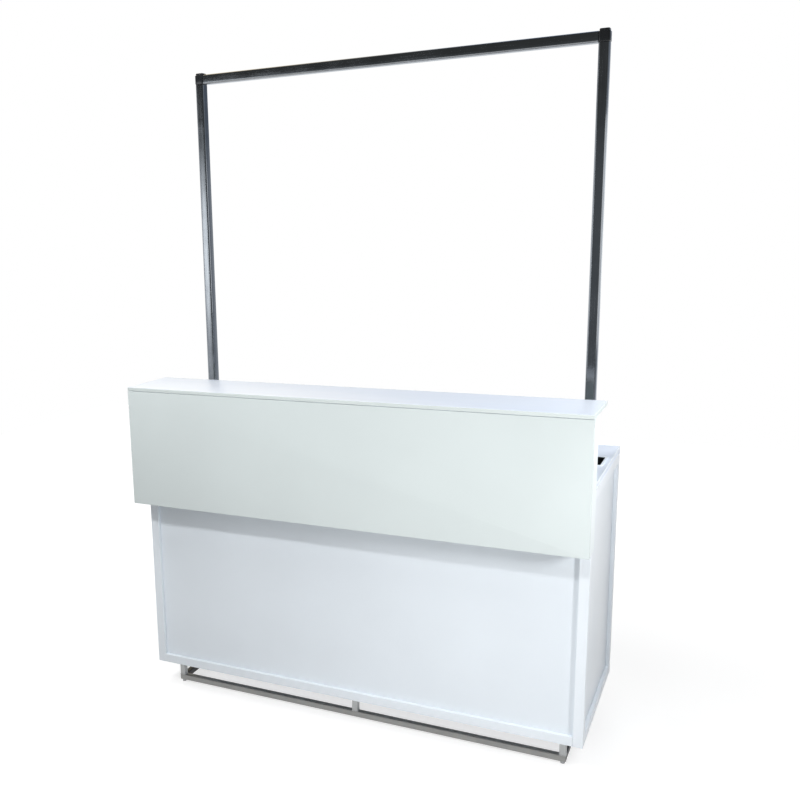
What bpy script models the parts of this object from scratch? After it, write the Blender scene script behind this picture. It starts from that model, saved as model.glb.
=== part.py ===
"""Exhibition counter: a white cabinet on a steel base, a raised bar front and a header frame.

Metres, +Z up. The customer stands on the -Y side, the staff on the +Y side. The origin lies on
the floor under the middle of the counter's outline.
"""

import math

import bmesh
import bpy
from mathutils import Matrix, Vector

# Cabinet
BODY_WIDTH = 1.500
BODY_DEPTH = 0.550
FRAME_HEIGHT = 0.780
PROFILE = 0.030             # corner posts and rear rails, square; the face of every rail
PROFILE_WALL = 0.0016
PROFILE_CHAMFER = 0.0006
PANEL_RECESS = 0.012        # outer face of the frame to the face of a panel
PANEL_THICKNESS = 0.005
GROOVE_DEPTH = 0.010
GROOVE_LIP = 0.0027         # wall behind the panel groove of a front or side rail
PANEL_END_GAP = 0.002
FLOOR_THICKNESS = 0.012
INNER_SHELF_HEIGHT = 0.380  # underside of the frame to the underside of the shelf
INNER_SHELF_THICKNESS = 0.012
INNER_SHELF_SETBACK = 0.010
BOARD_EDGE = 0.001          # rounding of sawn and edged boards

# Worktop and the slots that the header posts stand in
WORKTOP_THICKNESS = 0.022
WORKTOP_EDGE = 0.002
SLOT_POST_MARGIN = 0.004    # beside and behind the post
SLOT_OUTER_ROOM = 0.0335    # outside of the post
SLOT_HAND_ROOM = 0.075      # in front of the post
COLLAR_FLANGE = 0.008
COLLAR_HEIGHT = 0.0025
COLLAR_WALL = 0.0015

# Steel base
BASE_HEIGHT = 0.086         # underside of the base rails to the underside of the cabinet
BASE_TUBE = 0.020
BASE_WALL = 0.0015
BASE_RADIUS = 0.002
FLANGE_SIZE = 0.060
FLANGE_CLEARANCE = 0.006    # corner posts and rear rail to the flange plates
FLANGE_FRONT_CLEARANCE = 0.010
FLANGE_THICKNESS = 0.003

# Levelling feet
FOOT_HEIGHT = 0.009
FOOT_RADIUS = 0.007
FOOT_PAD = 0.004
FOOT_EDGE = 0.001
STUD_RADIUS = 0.004
STUD_LENGTH = 0.012         # above the underside of the base rail

# Bar front
FASCIA_OVERHANG = 0.008     # past each side of the cabinet
FASCIA_PROJECTION = 0.083   # in front of the cabinet
FASCIA_DROP = 0.183         # below the face of the worktop
FASCIA_THICKNESS = 0.012
BAR_RISE = 0.222            # face of the worktop to the face of the bar shelf
BAR_SHELF_DEPTH = 0.230
BAR_SHELF_THICKNESS = 0.012
GABLE_THICKNESS = 0.012
GABLE_INSET = 0.040         # side of the cabinet to an outer gable
GABLE_SETBACK = 0.020       # rear edge of the bar shelf to the gables
GABLE_CLEAR = 0.010         # lower edge of the fascia to the gables
GABLE_RADIUS = 0.006

# Cleats under the inner shelf
CLEAT_LEG = 0.020
CLEAT_THICKNESS = 0.002
CLEAT_END_GAP = 0.004       # front post to the end of a cleat

# Header frame
HEADER_SIDE_INSET = 0.0545  # side of the cabinet to the side of the header
HEADER_SETBACK = 0.335      # front of the cabinet to the front of the header
HEADER_RISE = 1.264         # face of the worktop to the top of the header bar
HEADER_TUBE = 0.032
HEADER_WALL = 0.0015
HEADER_RADIUS = 0.005
CONNECTOR_RISE = 0.006      # above the header bar
CONNECTOR_EDGE = 0.003
CONNECTOR_STUB = 0.030

# Header sockets
SOCKET_CLEAR = 0.028        # above the inner shelf
SOCKET_WALL = 0.002
SOCKET_CLEARANCE = 0.0005
SOCKET_PLATE = 0.003
SOCKET_PLATE_LIP = 0.004    # outside and in front of the tube
SOCKET_PLATE_WING = 0.045   # inside and behind the tube, under the worktop

# Clamp knobs
KNOB_DROP = 0.045           # underside of the worktop to the knob's axis
KNOB_RADIUS = 0.018
KNOB_LOBE = 0.0022
KNOB_LOBES = 5
KNOB_THICKNESS = 0.014
KNOB_GAP = 0.004            # knob to boss
BOSS_RADIUS = 0.008
BOSS_LENGTH = 0.010

# Sliding doors
DOOR_THICKNESS = 0.008
DOOR_OVERLAP = 0.040
DOOR_END_GAP = 0.001
DOOR_SIDE_CLEARANCE = 0.0005
DOOR_LIFT = 0.006           # room above a door to lift it out
TRACK_WALL = 0.002
LOWER_TRACK_HEIGHT = 0.008
UPPER_TRACK_HEIGHT = 0.016

# Flush pulls
PULL_RADIUS = 0.024
PULL_FLANGE = 0.003
PULL_FLANGE_THICKNESS = 0.001
PULL_WALL = 0.001
PULL_BACK_INSET = 0.0005    # inner face of the door to the back of a pull
PULL_EDGE_DISTANCE = 0.070

# Door lock
LOCK_RADIUS = 0.012
LOCK_HEAD = 0.004
LOCK_BARREL_RADIUS = 0.009
LOCK_BORE_RADIUS = 0.0065
LOCK_EDGE_DISTANCE = 0.030
LOCK_BEVEL = 0.001
KEY_SLOT_LENGTH = 0.008
KEY_SLOT_WIDTH = 0.0015
KEY_SLOT_DEPTH = 0.003

# Fits
GAP = 0.0003                # between pieces that touch
BORE_CLEARANCE = 0.0003     # round a stud, barrel or cup
OVERRUN = 0.002             # by which a cutter passes the face that it opens
WELD_DISTANCE = 0.00001     # points closer than this are one point

# Facets
ROUND_STEPS = 24
SMALL_ROUND_STEPS = 16
CORNER_STEPS = 5
LOBE_STEPS = 8
SHARP_ANGLE = math.radians(35)

# Heights
rail_bottom = FOOT_HEIGHT
rail_top = rail_bottom + BASE_TUBE
frame_bottom = rail_bottom + BASE_HEIGHT
frame_top = frame_bottom + FRAME_HEIGHT
worktop_bottom = frame_top + GAP
worktop_top = frame_top + WORKTOP_THICKNESS
bar_top = worktop_top + BAR_RISE
bar_bottom = bar_top - BAR_SHELF_THICKNESS
fascia_bottom = worktop_top - FASCIA_DROP
header_top = worktop_top + HEADER_RISE
connector_bottom = header_top - HEADER_TUBE

# Planes across the width and depth
half_width = BODY_WIDTH / 2
total_depth = BODY_DEPTH + FASCIA_PROJECTION
fascia_front = -total_depth / 2
body_front = fascia_front + FASCIA_PROJECTION
body_rear = total_depth / 2
panel_inner = PANEL_RECESS + PANEL_THICKNESS
post_x = half_width - HEADER_SIDE_INSET - HEADER_TUBE / 2
post_y = body_front + HEADER_SETBACK + HEADER_TUBE / 2
SIDES = (("left", -1), ("right", 1))

X_AXIS = Vector((1, 0, 0))
Y_AXIS = Vector((0, 1, 0))
Z_AXIS = Vector((0, 0, 1))


def clear_scene():
    """Remove whatever the file holds, so that the model starts empty."""
    for item in list(bpy.data.objects):
        bpy.data.objects.remove(item, do_unlink=True)


def new_collection(name):
    """A collection of its own, linked to the scene."""
    made = bpy.data.collections.new(name)
    bpy.context.scene.collection.children.link(made)
    return made


clear_scene()
PARTS = new_collection("exhibition_counter")
CUTTERS = new_collection("cutters")


# Materials

def finish(name, colour, metallic, roughness):
    """A Principled material with one even colour."""
    made = bpy.data.materials.new(name)
    made.use_nodes = True
    shader = made.node_tree.nodes["Principled BSDF"]
    shader.inputs["Base Color"].default_value = (*colour, 1)
    shader.inputs["Metallic"].default_value = metallic
    shader.inputs["Roughness"].default_value = roughness
    made.diffuse_color = (*colour, 1)
    return made


FINISHES = {
    "frame": finish("white_powder_coat", (0.88, 0.91, 0.93), 0.0, 0.35),
    "board": finish("white_laminate", (0.84, 0.88, 0.89), 0.0, 0.30),
    "panel": finish("white_composite_panel", (0.78, 0.82, 0.87), 0.0, 0.40),
    "steel": finish("brushed_steel", (0.42, 0.43, 0.42), 1.0, 0.38),
    "polished": finish("polished_dark_steel", (0.10, 0.12, 0.13), 1.0, 0.12),
    "black": finish("black_plastic", (0.03, 0.03, 0.035), 0.0, 0.45),
    "white_plastic": finish("white_plastic", (0.85, 0.87, 0.88), 0.0, 0.40),
    "chrome": finish("chrome", (0.75, 0.76, 0.77), 1.0, 0.10),
}


# Making and placing pieces

def add_object(name, mesh, collection):
    """Link a mesh to the scene as a named object."""
    made = bpy.data.objects.new(name, mesh)
    collection.objects.link(made)
    return made


def as_part(item, name, material):
    """Give a finished piece its name, its material and its place among the parts."""
    item.name = name
    item.data.name = name
    item.data.materials.clear()
    own = FINISHES[material].copy()
    own.name = name + "_finish"
    item.data.materials.append(own)
    for collection in list(item.users_collection):
        collection.objects.unlink(item)
    PARTS.objects.link(item)
    item.data.shade_smooth()
    item.data.set_sharp_from_angle(angle=SHARP_ANGLE)
    return item


def as_cutter(item):
    """Keep a cutter out of the model and draw it as a wire."""
    for collection in list(item.users_collection):
        collection.objects.unlink(item)
    CUTTERS.objects.link(item)
    item.hide_render = True
    item.display_type = "WIRE"
    return item


def place(item, origin, x_axis=X_AXIS, y_axis=Y_AXIS):
    """Put a piece at an origin, with its local X and Y along the two given directions."""
    turn = Matrix((x_axis, y_axis, x_axis.cross(y_axis))).transposed().to_4x4()
    item.matrix_world = Matrix.Translation(origin) @ turn
    return item


def box(low, high, edge=0, segments=2):
    """A box between two corners, with its edges rounded where an edge radius is given."""
    low = Vector(low)
    high = Vector(high)
    bpy.ops.mesh.primitive_cube_add(size=1, location=(low + high) / 2)
    made = bpy.context.active_object
    made.data.transform(Matrix.Diagonal((*(high - low), 1)))
    if edge:
        bevelled(made, edge, segments)
    return made


def bevelled(item, edge, segments=2):
    """Round the sharp edges of a piece."""
    rounding = item.modifiers.new("edges", "BEVEL")
    rounding.width = edge
    rounding.segments = segments
    rounding.limit_method = "ANGLE"
    return item


def cylinder(radius, length, steps):
    """A cylinder along local Z, centred on its own origin."""
    bpy.ops.mesh.primitive_cylinder_add(vertices=steps, radius=radius, depth=length)
    return bpy.context.active_object


def boolean(item, other, operation):
    """Cut a piece with another, or join the other to it."""
    step = item.modifiers.new(operation.lower(), "BOOLEAN")
    step.operation = operation
    step.solver = "EXACT"
    step.object = as_cutter(other)
    return item


def evaluated_mesh(item):
    """The mesh that an object shows with its modifiers, welded and with its faces outwards."""
    bpy.context.view_layer.update()
    depsgraph = bpy.context.evaluated_depsgraph_get()
    mesh = bpy.data.meshes.new_from_object(item.evaluated_get(depsgraph))
    shape = bmesh.new()
    shape.from_mesh(mesh)
    bmesh.ops.remove_doubles(shape, verts=shape.verts, dist=WELD_DISTANCE)
    bmesh.ops.recalc_face_normals(shape, faces=shape.faces)
    shape.to_mesh(mesh)
    shape.free()
    return mesh


def extrusion(outlines, length):
    """A prism centred along local Z, from one outline and the outlines of the hollows in it."""
    curve = bpy.data.curves.new("outline", "CURVE")
    curve.dimensions = "2D"
    curve.fill_mode = "BOTH"
    curve.extrude = length / 2
    for outline in outlines:
        spline = curve.splines.new("POLY")
        spline.points.add(len(outline) - 1)
        for point, (x, y) in zip(spline.points, outline):
            point.co = (x, y, 0, 1)
        spline.use_cyclic_u = True
    drawn = add_object("outline", curve, CUTTERS)
    mesh = evaluated_mesh(drawn)
    bpy.data.objects.remove(drawn, do_unlink=True)
    bpy.data.curves.remove(curve)
    return add_object("extrusion", mesh, PARTS)


def turned(profile, steps):
    """A turned piece about local Z, from a profile of (radius, height) points."""
    mesh = bpy.data.meshes.new("profile")
    edges = [(index, index + 1) for index in range(len(profile) - 1)]
    mesh.from_pydata([(radius, 0, height) for radius, height in profile], edges, [])
    made = add_object("turned", mesh, PARTS)
    screw = made.modifiers.new("turn", "SCREW")
    screw.axis = "Z"
    screw.steps = steps
    screw.render_steps = steps
    screw.use_merge_vertices = True
    screw.merge_threshold = WELD_DISTANCE
    solid = evaluated_mesh(made)
    bpy.data.objects.remove(made, do_unlink=True)
    return add_object("turned", solid, PARTS)


# Outlines

def rectangle(width, height):
    """A rectangle round the origin."""
    x = width / 2
    y = height / 2
    return [(-x, -y), (x, -y), (x, y), (-x, y)]


def rounded_square(side, radius):
    """A square round the origin with its corners as arcs."""
    reach = side / 2 - radius
    points = []
    for corner in range(4):
        start = corner * math.pi / 2
        centre_x = reach * (1 if corner in (0, 3) else -1)
        centre_y = reach * (1 if corner in (0, 1) else -1)
        for step in range(CORNER_STEPS + 1):
            angle = start + step / CORNER_STEPS * math.pi / 2
            points.append((centre_x + radius * math.cos(angle), centre_y + radius * math.sin(angle)))
    return points


def chamfered(outline, width):
    """The same outline with every corner cut back by a small flat."""
    points = []
    for index, corner in enumerate(outline):
        here = Vector(corner)
        before = Vector(outline[index - 1])
        after = Vector(outline[(index + 1) % len(outline)])
        points.append(tuple(here + (before - here).normalized() * width))
        points.append(tuple(here + (after - here).normalized() * width))
    return points


def tube_outlines(side, radius, wall):
    """The section of a square tube: its outside and its bore."""
    return [rounded_square(side, radius), rounded_square(side - 2 * wall, radius - wall)]


# Frame profiles. A profile's local origin is the outer corner of its section, and both local
# axes point into the cabinet.

groove_near = PANEL_RECESS - GAP
groove_far = PANEL_RECESS + PANEL_THICKNESS + GAP
groove_floor = PROFILE - GROOVE_DEPTH
rail_depth = groove_far + GROOVE_LIP
web_near = groove_near - PROFILE_WALL
web_far = groove_far + PROFILE_WALL
web_floor = groove_floor - PROFILE_WALL


def corner_post_outlines():
    """A square post with a panel groove in each of its two inner faces."""
    outside = [
        (0, 0), (PROFILE, 0),
        (PROFILE, groove_near), (groove_floor, groove_near),
        (groove_floor, groove_far), (PROFILE, groove_far),
        (PROFILE, PROFILE), (groove_far, PROFILE),
        (groove_far, groove_floor), (groove_near, groove_floor),
        (groove_near, PROFILE), (0, PROFILE),
    ]
    inner = PROFILE - PROFILE_WALL
    chamber = [
        (PROFILE_WALL, PROFILE_WALL), (inner, PROFILE_WALL),
        (inner, web_near), (web_floor, web_near),
        (web_floor, web_floor), (web_near, web_floor),
        (web_near, inner), (PROFILE_WALL, inner),
    ]
    core = [(web_far, web_far), (inner, web_far), (inner, inner), (web_far, inner)]
    return [chamfered(outside, PROFILE_CHAMFER), chamber, core]


def grooved_rail_outlines():
    """A rail with one panel groove: local X goes inwards, local Y towards the panel."""
    outside = [
        (0, 0), (rail_depth, 0), (rail_depth, PROFILE), (groove_far, PROFILE),
        (groove_far, groove_floor), (groove_near, groove_floor), (groove_near, PROFILE), (0, PROFILE),
    ]
    inner = rail_depth - PROFILE_WALL
    chamber = [
        (PROFILE_WALL, PROFILE_WALL), (inner, PROFILE_WALL), (inner, web_floor),
        (web_near, web_floor), (web_near, PROFILE - PROFILE_WALL), (PROFILE_WALL, PROFILE - PROFILE_WALL),
    ]
    return [chamfered(outside, PROFILE_CHAMFER), chamber]


def plain_rail_outlines():
    """A plain square rail, as at the rear, where the door tracks lie on it."""
    inner = PROFILE - PROFILE_WALL
    outside = [(0, 0), (PROFILE, 0), (PROFILE, PROFILE), (0, PROFILE)]
    chamber = [
        (PROFILE_WALL, PROFILE_WALL), (inner, PROFILE_WALL), (inner, inner), (PROFILE_WALL, inner),
    ]
    return [chamfered(outside, PROFILE_CHAMFER), chamber]


def rear_capped_rail(outlines, length, origin, x_axis, y_axis):
    """A rail whose rear end is closed: its chamber is pushed forward by the wall of that cap."""
    rail = place(extrusion(outlines[:1], length), origin, x_axis, y_axis)
    chamber = place(extrusion(outlines[1:], length), origin - PROFILE_WALL * Y_AXIS, x_axis, y_axis)
    return boolean(rail, chamber, "DIFFERENCE")


# Steel base

base_x = half_width - PROFILE - FLANGE_CLEARANCE - FLANGE_SIZE / 2
base_front_y = body_front + rail_depth + FLANGE_FRONT_CLEARANCE + FLANGE_SIZE / 2
base_rear_y = body_rear - PROFILE - FLANGE_CLEARANCE - FLANGE_SIZE / 2
BASE_ROWS = (("front", base_front_y), ("rear", base_rear_y))


def make_cross_rail(row, y):
    """A base rail across the width, closed at its ends and drilled for two levelling feet."""
    length = 2 * base_x + BASE_TUBE
    rail = extrusion([rounded_square(BASE_TUBE, BASE_RADIUS)], length)
    centre = Vector((0, y, rail_bottom + BASE_TUBE / 2))
    place(rail, centre, Y_AXIS, Z_AXIS)
    bore_side = BASE_TUBE - 2 * BASE_WALL
    bore = extrusion([rectangle(bore_side, bore_side)], length - 2 * BASE_WALL)
    boolean(rail, place(bore, centre, Y_AXIS, Z_AXIS), "DIFFERENCE")
    for side, sign in SIDES:
        hole = cylinder(STUD_RADIUS + BORE_CLEARANCE, BASE_WALL + 2 * OVERRUN, SMALL_ROUND_STEPS)
        place(hole, Vector((sign * base_x, y, rail_bottom + BASE_WALL / 2)))
        boolean(rail, hole, "DIFFERENCE")
    as_part(rail, "base_rail_" + row, "steel")


def make_side_rail(side, sign):
    """A base rail front to back, butted between the two cross rails."""
    length = base_rear_y - base_front_y - BASE_TUBE - 2 * GAP
    rail = extrusion(tube_outlines(BASE_TUBE, BASE_RADIUS, BASE_WALL), length)
    centre = Vector((sign * base_x, (base_front_y + base_rear_y) / 2, rail_bottom + BASE_TUBE / 2))
    place(rail, centre, Z_AXIS, X_AXIS)
    as_part(rail, "base_rail_" + side, "steel")


def make_base_post(name, x, y):
    """A short tube with a flange plate welded on, which the cabinet's floor is screwed to."""
    low = rail_top + GAP
    half = FLANGE_SIZE / 2
    plate_top = frame_bottom + FLANGE_THICKNESS
    post = box((x - half, y - half, frame_bottom), (x + half, y + half, plate_top))
    tube_high = frame_bottom + FLANGE_THICKNESS / 2
    tube = extrusion([rounded_square(BASE_TUBE, BASE_RADIUS)], tube_high - low)
    boolean(post, place(tube, Vector((x, y, (low + tube_high) / 2))), "UNION")
    bore_low = low - OVERRUN
    bore_side = BASE_TUBE - 2 * BASE_WALL
    bore = extrusion([rectangle(bore_side, bore_side)], frame_bottom - bore_low)
    boolean(post, place(bore, Vector((x, y, (bore_low + frame_bottom) / 2))), "DIFFERENCE")
    as_part(post, name, "steel")


def make_foot(name, x, y):
    """A screw-in glide: a round pad on a threaded stud."""
    profile = [
        (0, rail_bottom + STUD_LENGTH),
        (STUD_RADIUS, rail_bottom + STUD_LENGTH),
        (STUD_RADIUS, FOOT_PAD + FOOT_EDGE),
        (FOOT_RADIUS - FOOT_EDGE, FOOT_PAD),
        (FOOT_RADIUS, FOOT_PAD - FOOT_EDGE),
        (FOOT_RADIUS, FOOT_EDGE),
        (FOOT_RADIUS - FOOT_EDGE, 0),
        (0, 0),
    ]
    foot = turned(profile, SMALL_ROUND_STEPS)
    foot.location = (x, y, 0)
    as_part(foot, name, "black")


def make_base():
    """The welded base: two cross rails, two side rails, six posts and four feet."""
    for row, y in BASE_ROWS:
        make_cross_rail(row, y)
        for column, x in (("left", -base_x), ("middle", 0), ("right", base_x)):
            make_base_post("base_post_" + row + "_" + column, x, y)
        for side, sign in SIDES:
            make_foot("foot_" + row + "_" + side, sign * base_x, y)
    for side, sign in SIDES:
        make_side_rail(side, sign)


# Cabinet

def make_corner_posts():
    """Four upright profiles, their grooves facing the panels; the top rails lie on the rear two."""
    rear_top = frame_top - PROFILE - GAP
    for row, y, inward, top in (("front", body_front, 1, frame_top), ("rear", body_rear, -1, rear_top)):
        for side, sign in SIDES:
            post = extrusion(corner_post_outlines(), top - frame_bottom)
            corner = Vector((sign * half_width, y, (frame_bottom + top) / 2))
            place(post, corner, -sign * X_AXIS, inward * Y_AXIS)
            as_part(post, "corner_post_" + row + "_" + side, "frame")


def make_rails():
    """Rails at the top and bottom of each side. At the top, the side rails lie on the rear posts."""
    across = BODY_WIDTH - 2 * PROFILE - 2 * GAP
    side_start = body_front + PROFILE + GAP
    for level, z, towards, rear_length, side_end in (
        ("bottom", frame_bottom, 1, across, body_rear - PROFILE - GAP),
        ("top", frame_top, -1, BODY_WIDTH - 2 * rail_depth - 2 * GAP, body_rear),
    ):
        front = extrusion(grooved_rail_outlines(), across)
        place(front, Vector((0, body_front, z)), Y_AXIS, towards * Z_AXIS)
        as_part(front, "rail_front_" + level, "frame")
        rear = extrusion(plain_rail_outlines(), rear_length)
        place(rear, Vector((0, body_rear, z)), -Y_AXIS, towards * Z_AXIS)
        as_part(rear, "rail_rear_" + level, "frame")
        for side, sign in SIDES:
            length = side_end - side_start
            origin = Vector((sign * half_width, (side_start + side_end) / 2, z))
            axes = (-sign * X_AXIS, towards * Z_AXIS)
            if level == "bottom":
                rail = place(extrusion(grooved_rail_outlines(), length), origin, *axes)
            else:
                rail = rear_capped_rail(grooved_rail_outlines(), length, origin, *axes)
            as_part(rail, "rail_" + side + "_" + level, "frame")


def make_panels():
    """The front and side panels, with their edges in the grooves."""
    margin = groove_floor + PANEL_END_GAP
    low = frame_bottom + margin
    high = frame_top - margin
    face = body_front + PANEL_RECESS
    front = box(
        (-half_width + margin, face, low),
        (half_width - margin, face + PANEL_THICKNESS, high),
    )
    as_part(front, "front_panel", "panel")
    for side, sign in SIDES:
        outer = sign * (half_width - PANEL_RECESS)
        inner = sign * (half_width - panel_inner)
        panel = box(
            (min(outer, inner), body_front + margin, low),
            (max(outer, inner), body_rear - margin, high),
        )
        as_part(panel, "side_panel_" + side, "panel")


def notched_board(half_x, front, rear, notch_x, notch_y, thickness, underside):
    """A board with its two front corners cut out round the corner posts."""
    outline = [
        (-notch_x, front), (notch_x, front), (notch_x, notch_y), (half_x, notch_y),
        (half_x, rear), (-half_x, rear), (-half_x, notch_y), (-notch_x, notch_y),
    ]
    board = extrusion([outline], thickness)
    return place(board, Vector((0, 0, underside + thickness / 2)))


def make_floor():
    """The floor board, resting on the flange plates between the bottom rails."""
    floor = notched_board(
        half_x=half_width - rail_depth - GAP,
        front=body_front + rail_depth + GAP,
        rear=body_rear - PROFILE - GAP,
        notch_x=half_width - PROFILE - GAP,
        notch_y=body_front + PROFILE + GAP,
        thickness=FLOOR_THICKNESS,
        underside=frame_bottom + FLANGE_THICKNESS + GAP,
    )
    as_part(floor, "floor_panel", "board")


inner_shelf_bottom = frame_bottom + INNER_SHELF_HEIGHT
inner_shelf_front = body_front + panel_inner + GAP
inner_shelf_rear = body_rear - PROFILE - INNER_SHELF_SETBACK


def make_inner_shelf():
    """The storage shelf, wall to wall and notched round the front posts."""
    shelf = notched_board(
        half_x=half_width - panel_inner - GAP,
        front=inner_shelf_front,
        rear=inner_shelf_rear,
        notch_x=half_width - PROFILE - GAP,
        notch_y=body_front + PROFILE + GAP,
        thickness=INNER_SHELF_THICKNESS,
        underside=inner_shelf_bottom,
    )
    as_part(shelf, "inner_shelf", "board")


def make_cleats():
    """An angle along each side panel, under the inner shelf."""
    outline = [
        (0, 0), (CLEAT_LEG, 0), (CLEAT_LEG, CLEAT_THICKNESS),
        (CLEAT_THICKNESS, CLEAT_THICKNESS), (CLEAT_THICKNESS, CLEAT_LEG), (0, CLEAT_LEG),
    ]
    front = body_front + PROFILE + CLEAT_END_GAP
    for side, sign in SIDES:
        cleat = extrusion([outline], inner_shelf_rear - front)
        corner = Vector((
            sign * (half_width - panel_inner - GAP),
            (front + inner_shelf_rear) / 2,
            inner_shelf_bottom - GAP,
        ))
        place(cleat, corner, -sign * X_AXIS, -Z_AXIS)
        as_part(cleat, "shelf_cleat_" + side, "frame")


# Slots in the worktop

slot_inner = post_x - HEADER_TUBE / 2 - SLOT_POST_MARGIN
slot_outer = post_x + HEADER_TUBE / 2 + SLOT_OUTER_ROOM
slot_front = post_y - HEADER_TUBE / 2 - SLOT_HAND_ROOM
slot_rear = post_y + HEADER_TUBE / 2 + SLOT_POST_MARGIN


def slot_box(sign, grow, low, high, edge=0):
    """A box over one slot, grown on every side in plan."""
    first = sign * (slot_inner - grow)
    last = sign * (slot_outer + grow)
    return box(
        (min(first, last), slot_front - grow, low),
        (max(first, last), slot_rear + grow, high),
        edge,
    )


def make_worktop():
    """The worktop board, flush with the cabinet, with a slot for each header post."""
    top = box(
        (-half_width, body_front, worktop_bottom),
        (half_width, body_rear, worktop_top),
        WORKTOP_EDGE,
    )
    for side, sign in SIDES:
        hole = slot_box(sign, COLLAR_WALL + GAP, worktop_bottom - OVERRUN, worktop_top + OVERRUN)
        boolean(top, hole, "DIFFERENCE")
    as_part(top, "worktop", "board")


def make_collars():
    """A flanged trim that lines each slot."""
    seat = worktop_top + GAP
    rim = seat + COLLAR_HEIGHT
    for side, sign in SIDES:
        collar = slot_box(sign, COLLAR_FLANGE, seat, rim, BOARD_EDGE)
        sleeve = slot_box(sign, COLLAR_WALL, worktop_bottom, seat + COLLAR_HEIGHT / 2)
        boolean(collar, sleeve, "UNION")
        opening = slot_box(sign, 0, worktop_bottom - OVERRUN, rim + OVERRUN)
        boolean(collar, opening, "DIFFERENCE")
        as_part(collar, "slot_collar_" + side, "white_plastic")


# Sliding doors

door_opening = BODY_WIDTH - 2 * PROFILE
door_width = (door_opening + DOOR_OVERLAP) / 2 - DOOR_END_GAP
channel = DOOR_THICKNESS + 2 * DOOR_SIDE_CLEARANCE
track_width = 2 * channel + 3 * TRACK_WALL
track_inner_y = body_rear - PROFILE / 2 - track_width / 2
lower_track_z = frame_bottom + PROFILE + GAP
upper_track_z = frame_top - PROFILE - GAP
door_bottom = lower_track_z + TRACK_WALL + GAP
door_top = upper_track_z - TRACK_WALL - DOOR_LIFT
door_y = {
    "right": track_inner_y + TRACK_WALL + channel / 2,
    "left": track_inner_y + 2 * TRACK_WALL + channel + channel / 2,
}
handle_z = (door_bottom + door_top) / 2


def track_outline(height):
    """A double channel: a floor and three walls, local Y towards the doors."""
    points = [(0, 0), (track_width, 0)]
    for index in range(2):
        outer = track_width - index * (TRACK_WALL + channel)
        points += [(outer, height), (outer - TRACK_WALL, height)]
        points += [(outer - TRACK_WALL, TRACK_WALL), (outer - TRACK_WALL - channel, TRACK_WALL)]
    points += [(TRACK_WALL, height), (0, height)]
    return points


def make_tracks():
    """The tracks that the doors stand and slide in."""
    length = door_opening - 2 * GAP
    for name, z, height, towards in (
        ("door_track_lower", lower_track_z, LOWER_TRACK_HEIGHT, 1),
        ("door_track_upper", upper_track_z, UPPER_TRACK_HEIGHT, -1),
    ):
        track = extrusion([track_outline(height)], length)
        place(track, Vector((0, track_inner_y, z)), Y_AXIS, towards * Z_AXIS)
        as_part(track, name, "white_plastic")


def lock_x():
    """The lock's place, near the free edge of the outer door."""
    return DOOR_OVERLAP / 2 - LOCK_EDGE_DISTANCE


def pull_x(sign):
    """A pull's place, near the post side of its door."""
    return sign * (door_opening / 2 - DOOR_END_GAP - PULL_EDGE_DISTANCE)


def bore_through_door(door, radius, x, y):
    """Drill a door from face to face."""
    hole = cylinder(radius + BORE_CLEARANCE, DOOR_THICKNESS + 2 * OVERRUN, ROUND_STEPS)
    place(hole, Vector((x, y, handle_z)), X_AXIS, Z_AXIS)
    boolean(door, hole, "DIFFERENCE")


def make_doors():
    """Two sliding doors; the left one runs in the outer channel and carries the lock."""
    for side, sign in SIDES:
        y = door_y[side]
        outer = sign * (door_opening / 2 - DOOR_END_GAP)
        inner = outer - sign * door_width
        door = box(
            (min(outer, inner), y - DOOR_THICKNESS / 2, door_bottom),
            (max(outer, inner), y + DOOR_THICKNESS / 2, door_top),
        )
        bore_through_door(door, PULL_RADIUS, pull_x(sign), y)
        if side == "left":
            bore_through_door(door, LOCK_BARREL_RADIUS, lock_x(), y)
        as_part(door, "rear_door_" + side, "board")


def make_pulls():
    """A round flush pull in each door, open towards the staff side."""
    depth = DOOR_THICKNESS - PULL_BACK_INSET
    cup = PULL_RADIUS - PULL_WALL
    rim = PULL_RADIUS + PULL_FLANGE
    profile = [
        (0, PULL_WALL - depth),
        (cup - PULL_WALL, PULL_WALL - depth),
        (cup, 2 * PULL_WALL - depth),
        (cup, GAP + PULL_FLANGE_THICKNESS),
        (rim - PULL_FLANGE_THICKNESS / 2, GAP + PULL_FLANGE_THICKNESS),
        (rim, GAP),
        (PULL_RADIUS, GAP),
        (PULL_RADIUS, -depth),
        (0, -depth),
    ]
    for side, sign in SIDES:
        pull = turned(profile, ROUND_STEPS)
        face = door_y[side] + DOOR_THICKNESS / 2
        place(pull, Vector((pull_x(sign), face, handle_z)), Z_AXIS, X_AXIS)
        as_part(pull, "door_pull_" + side, "chrome")


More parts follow.
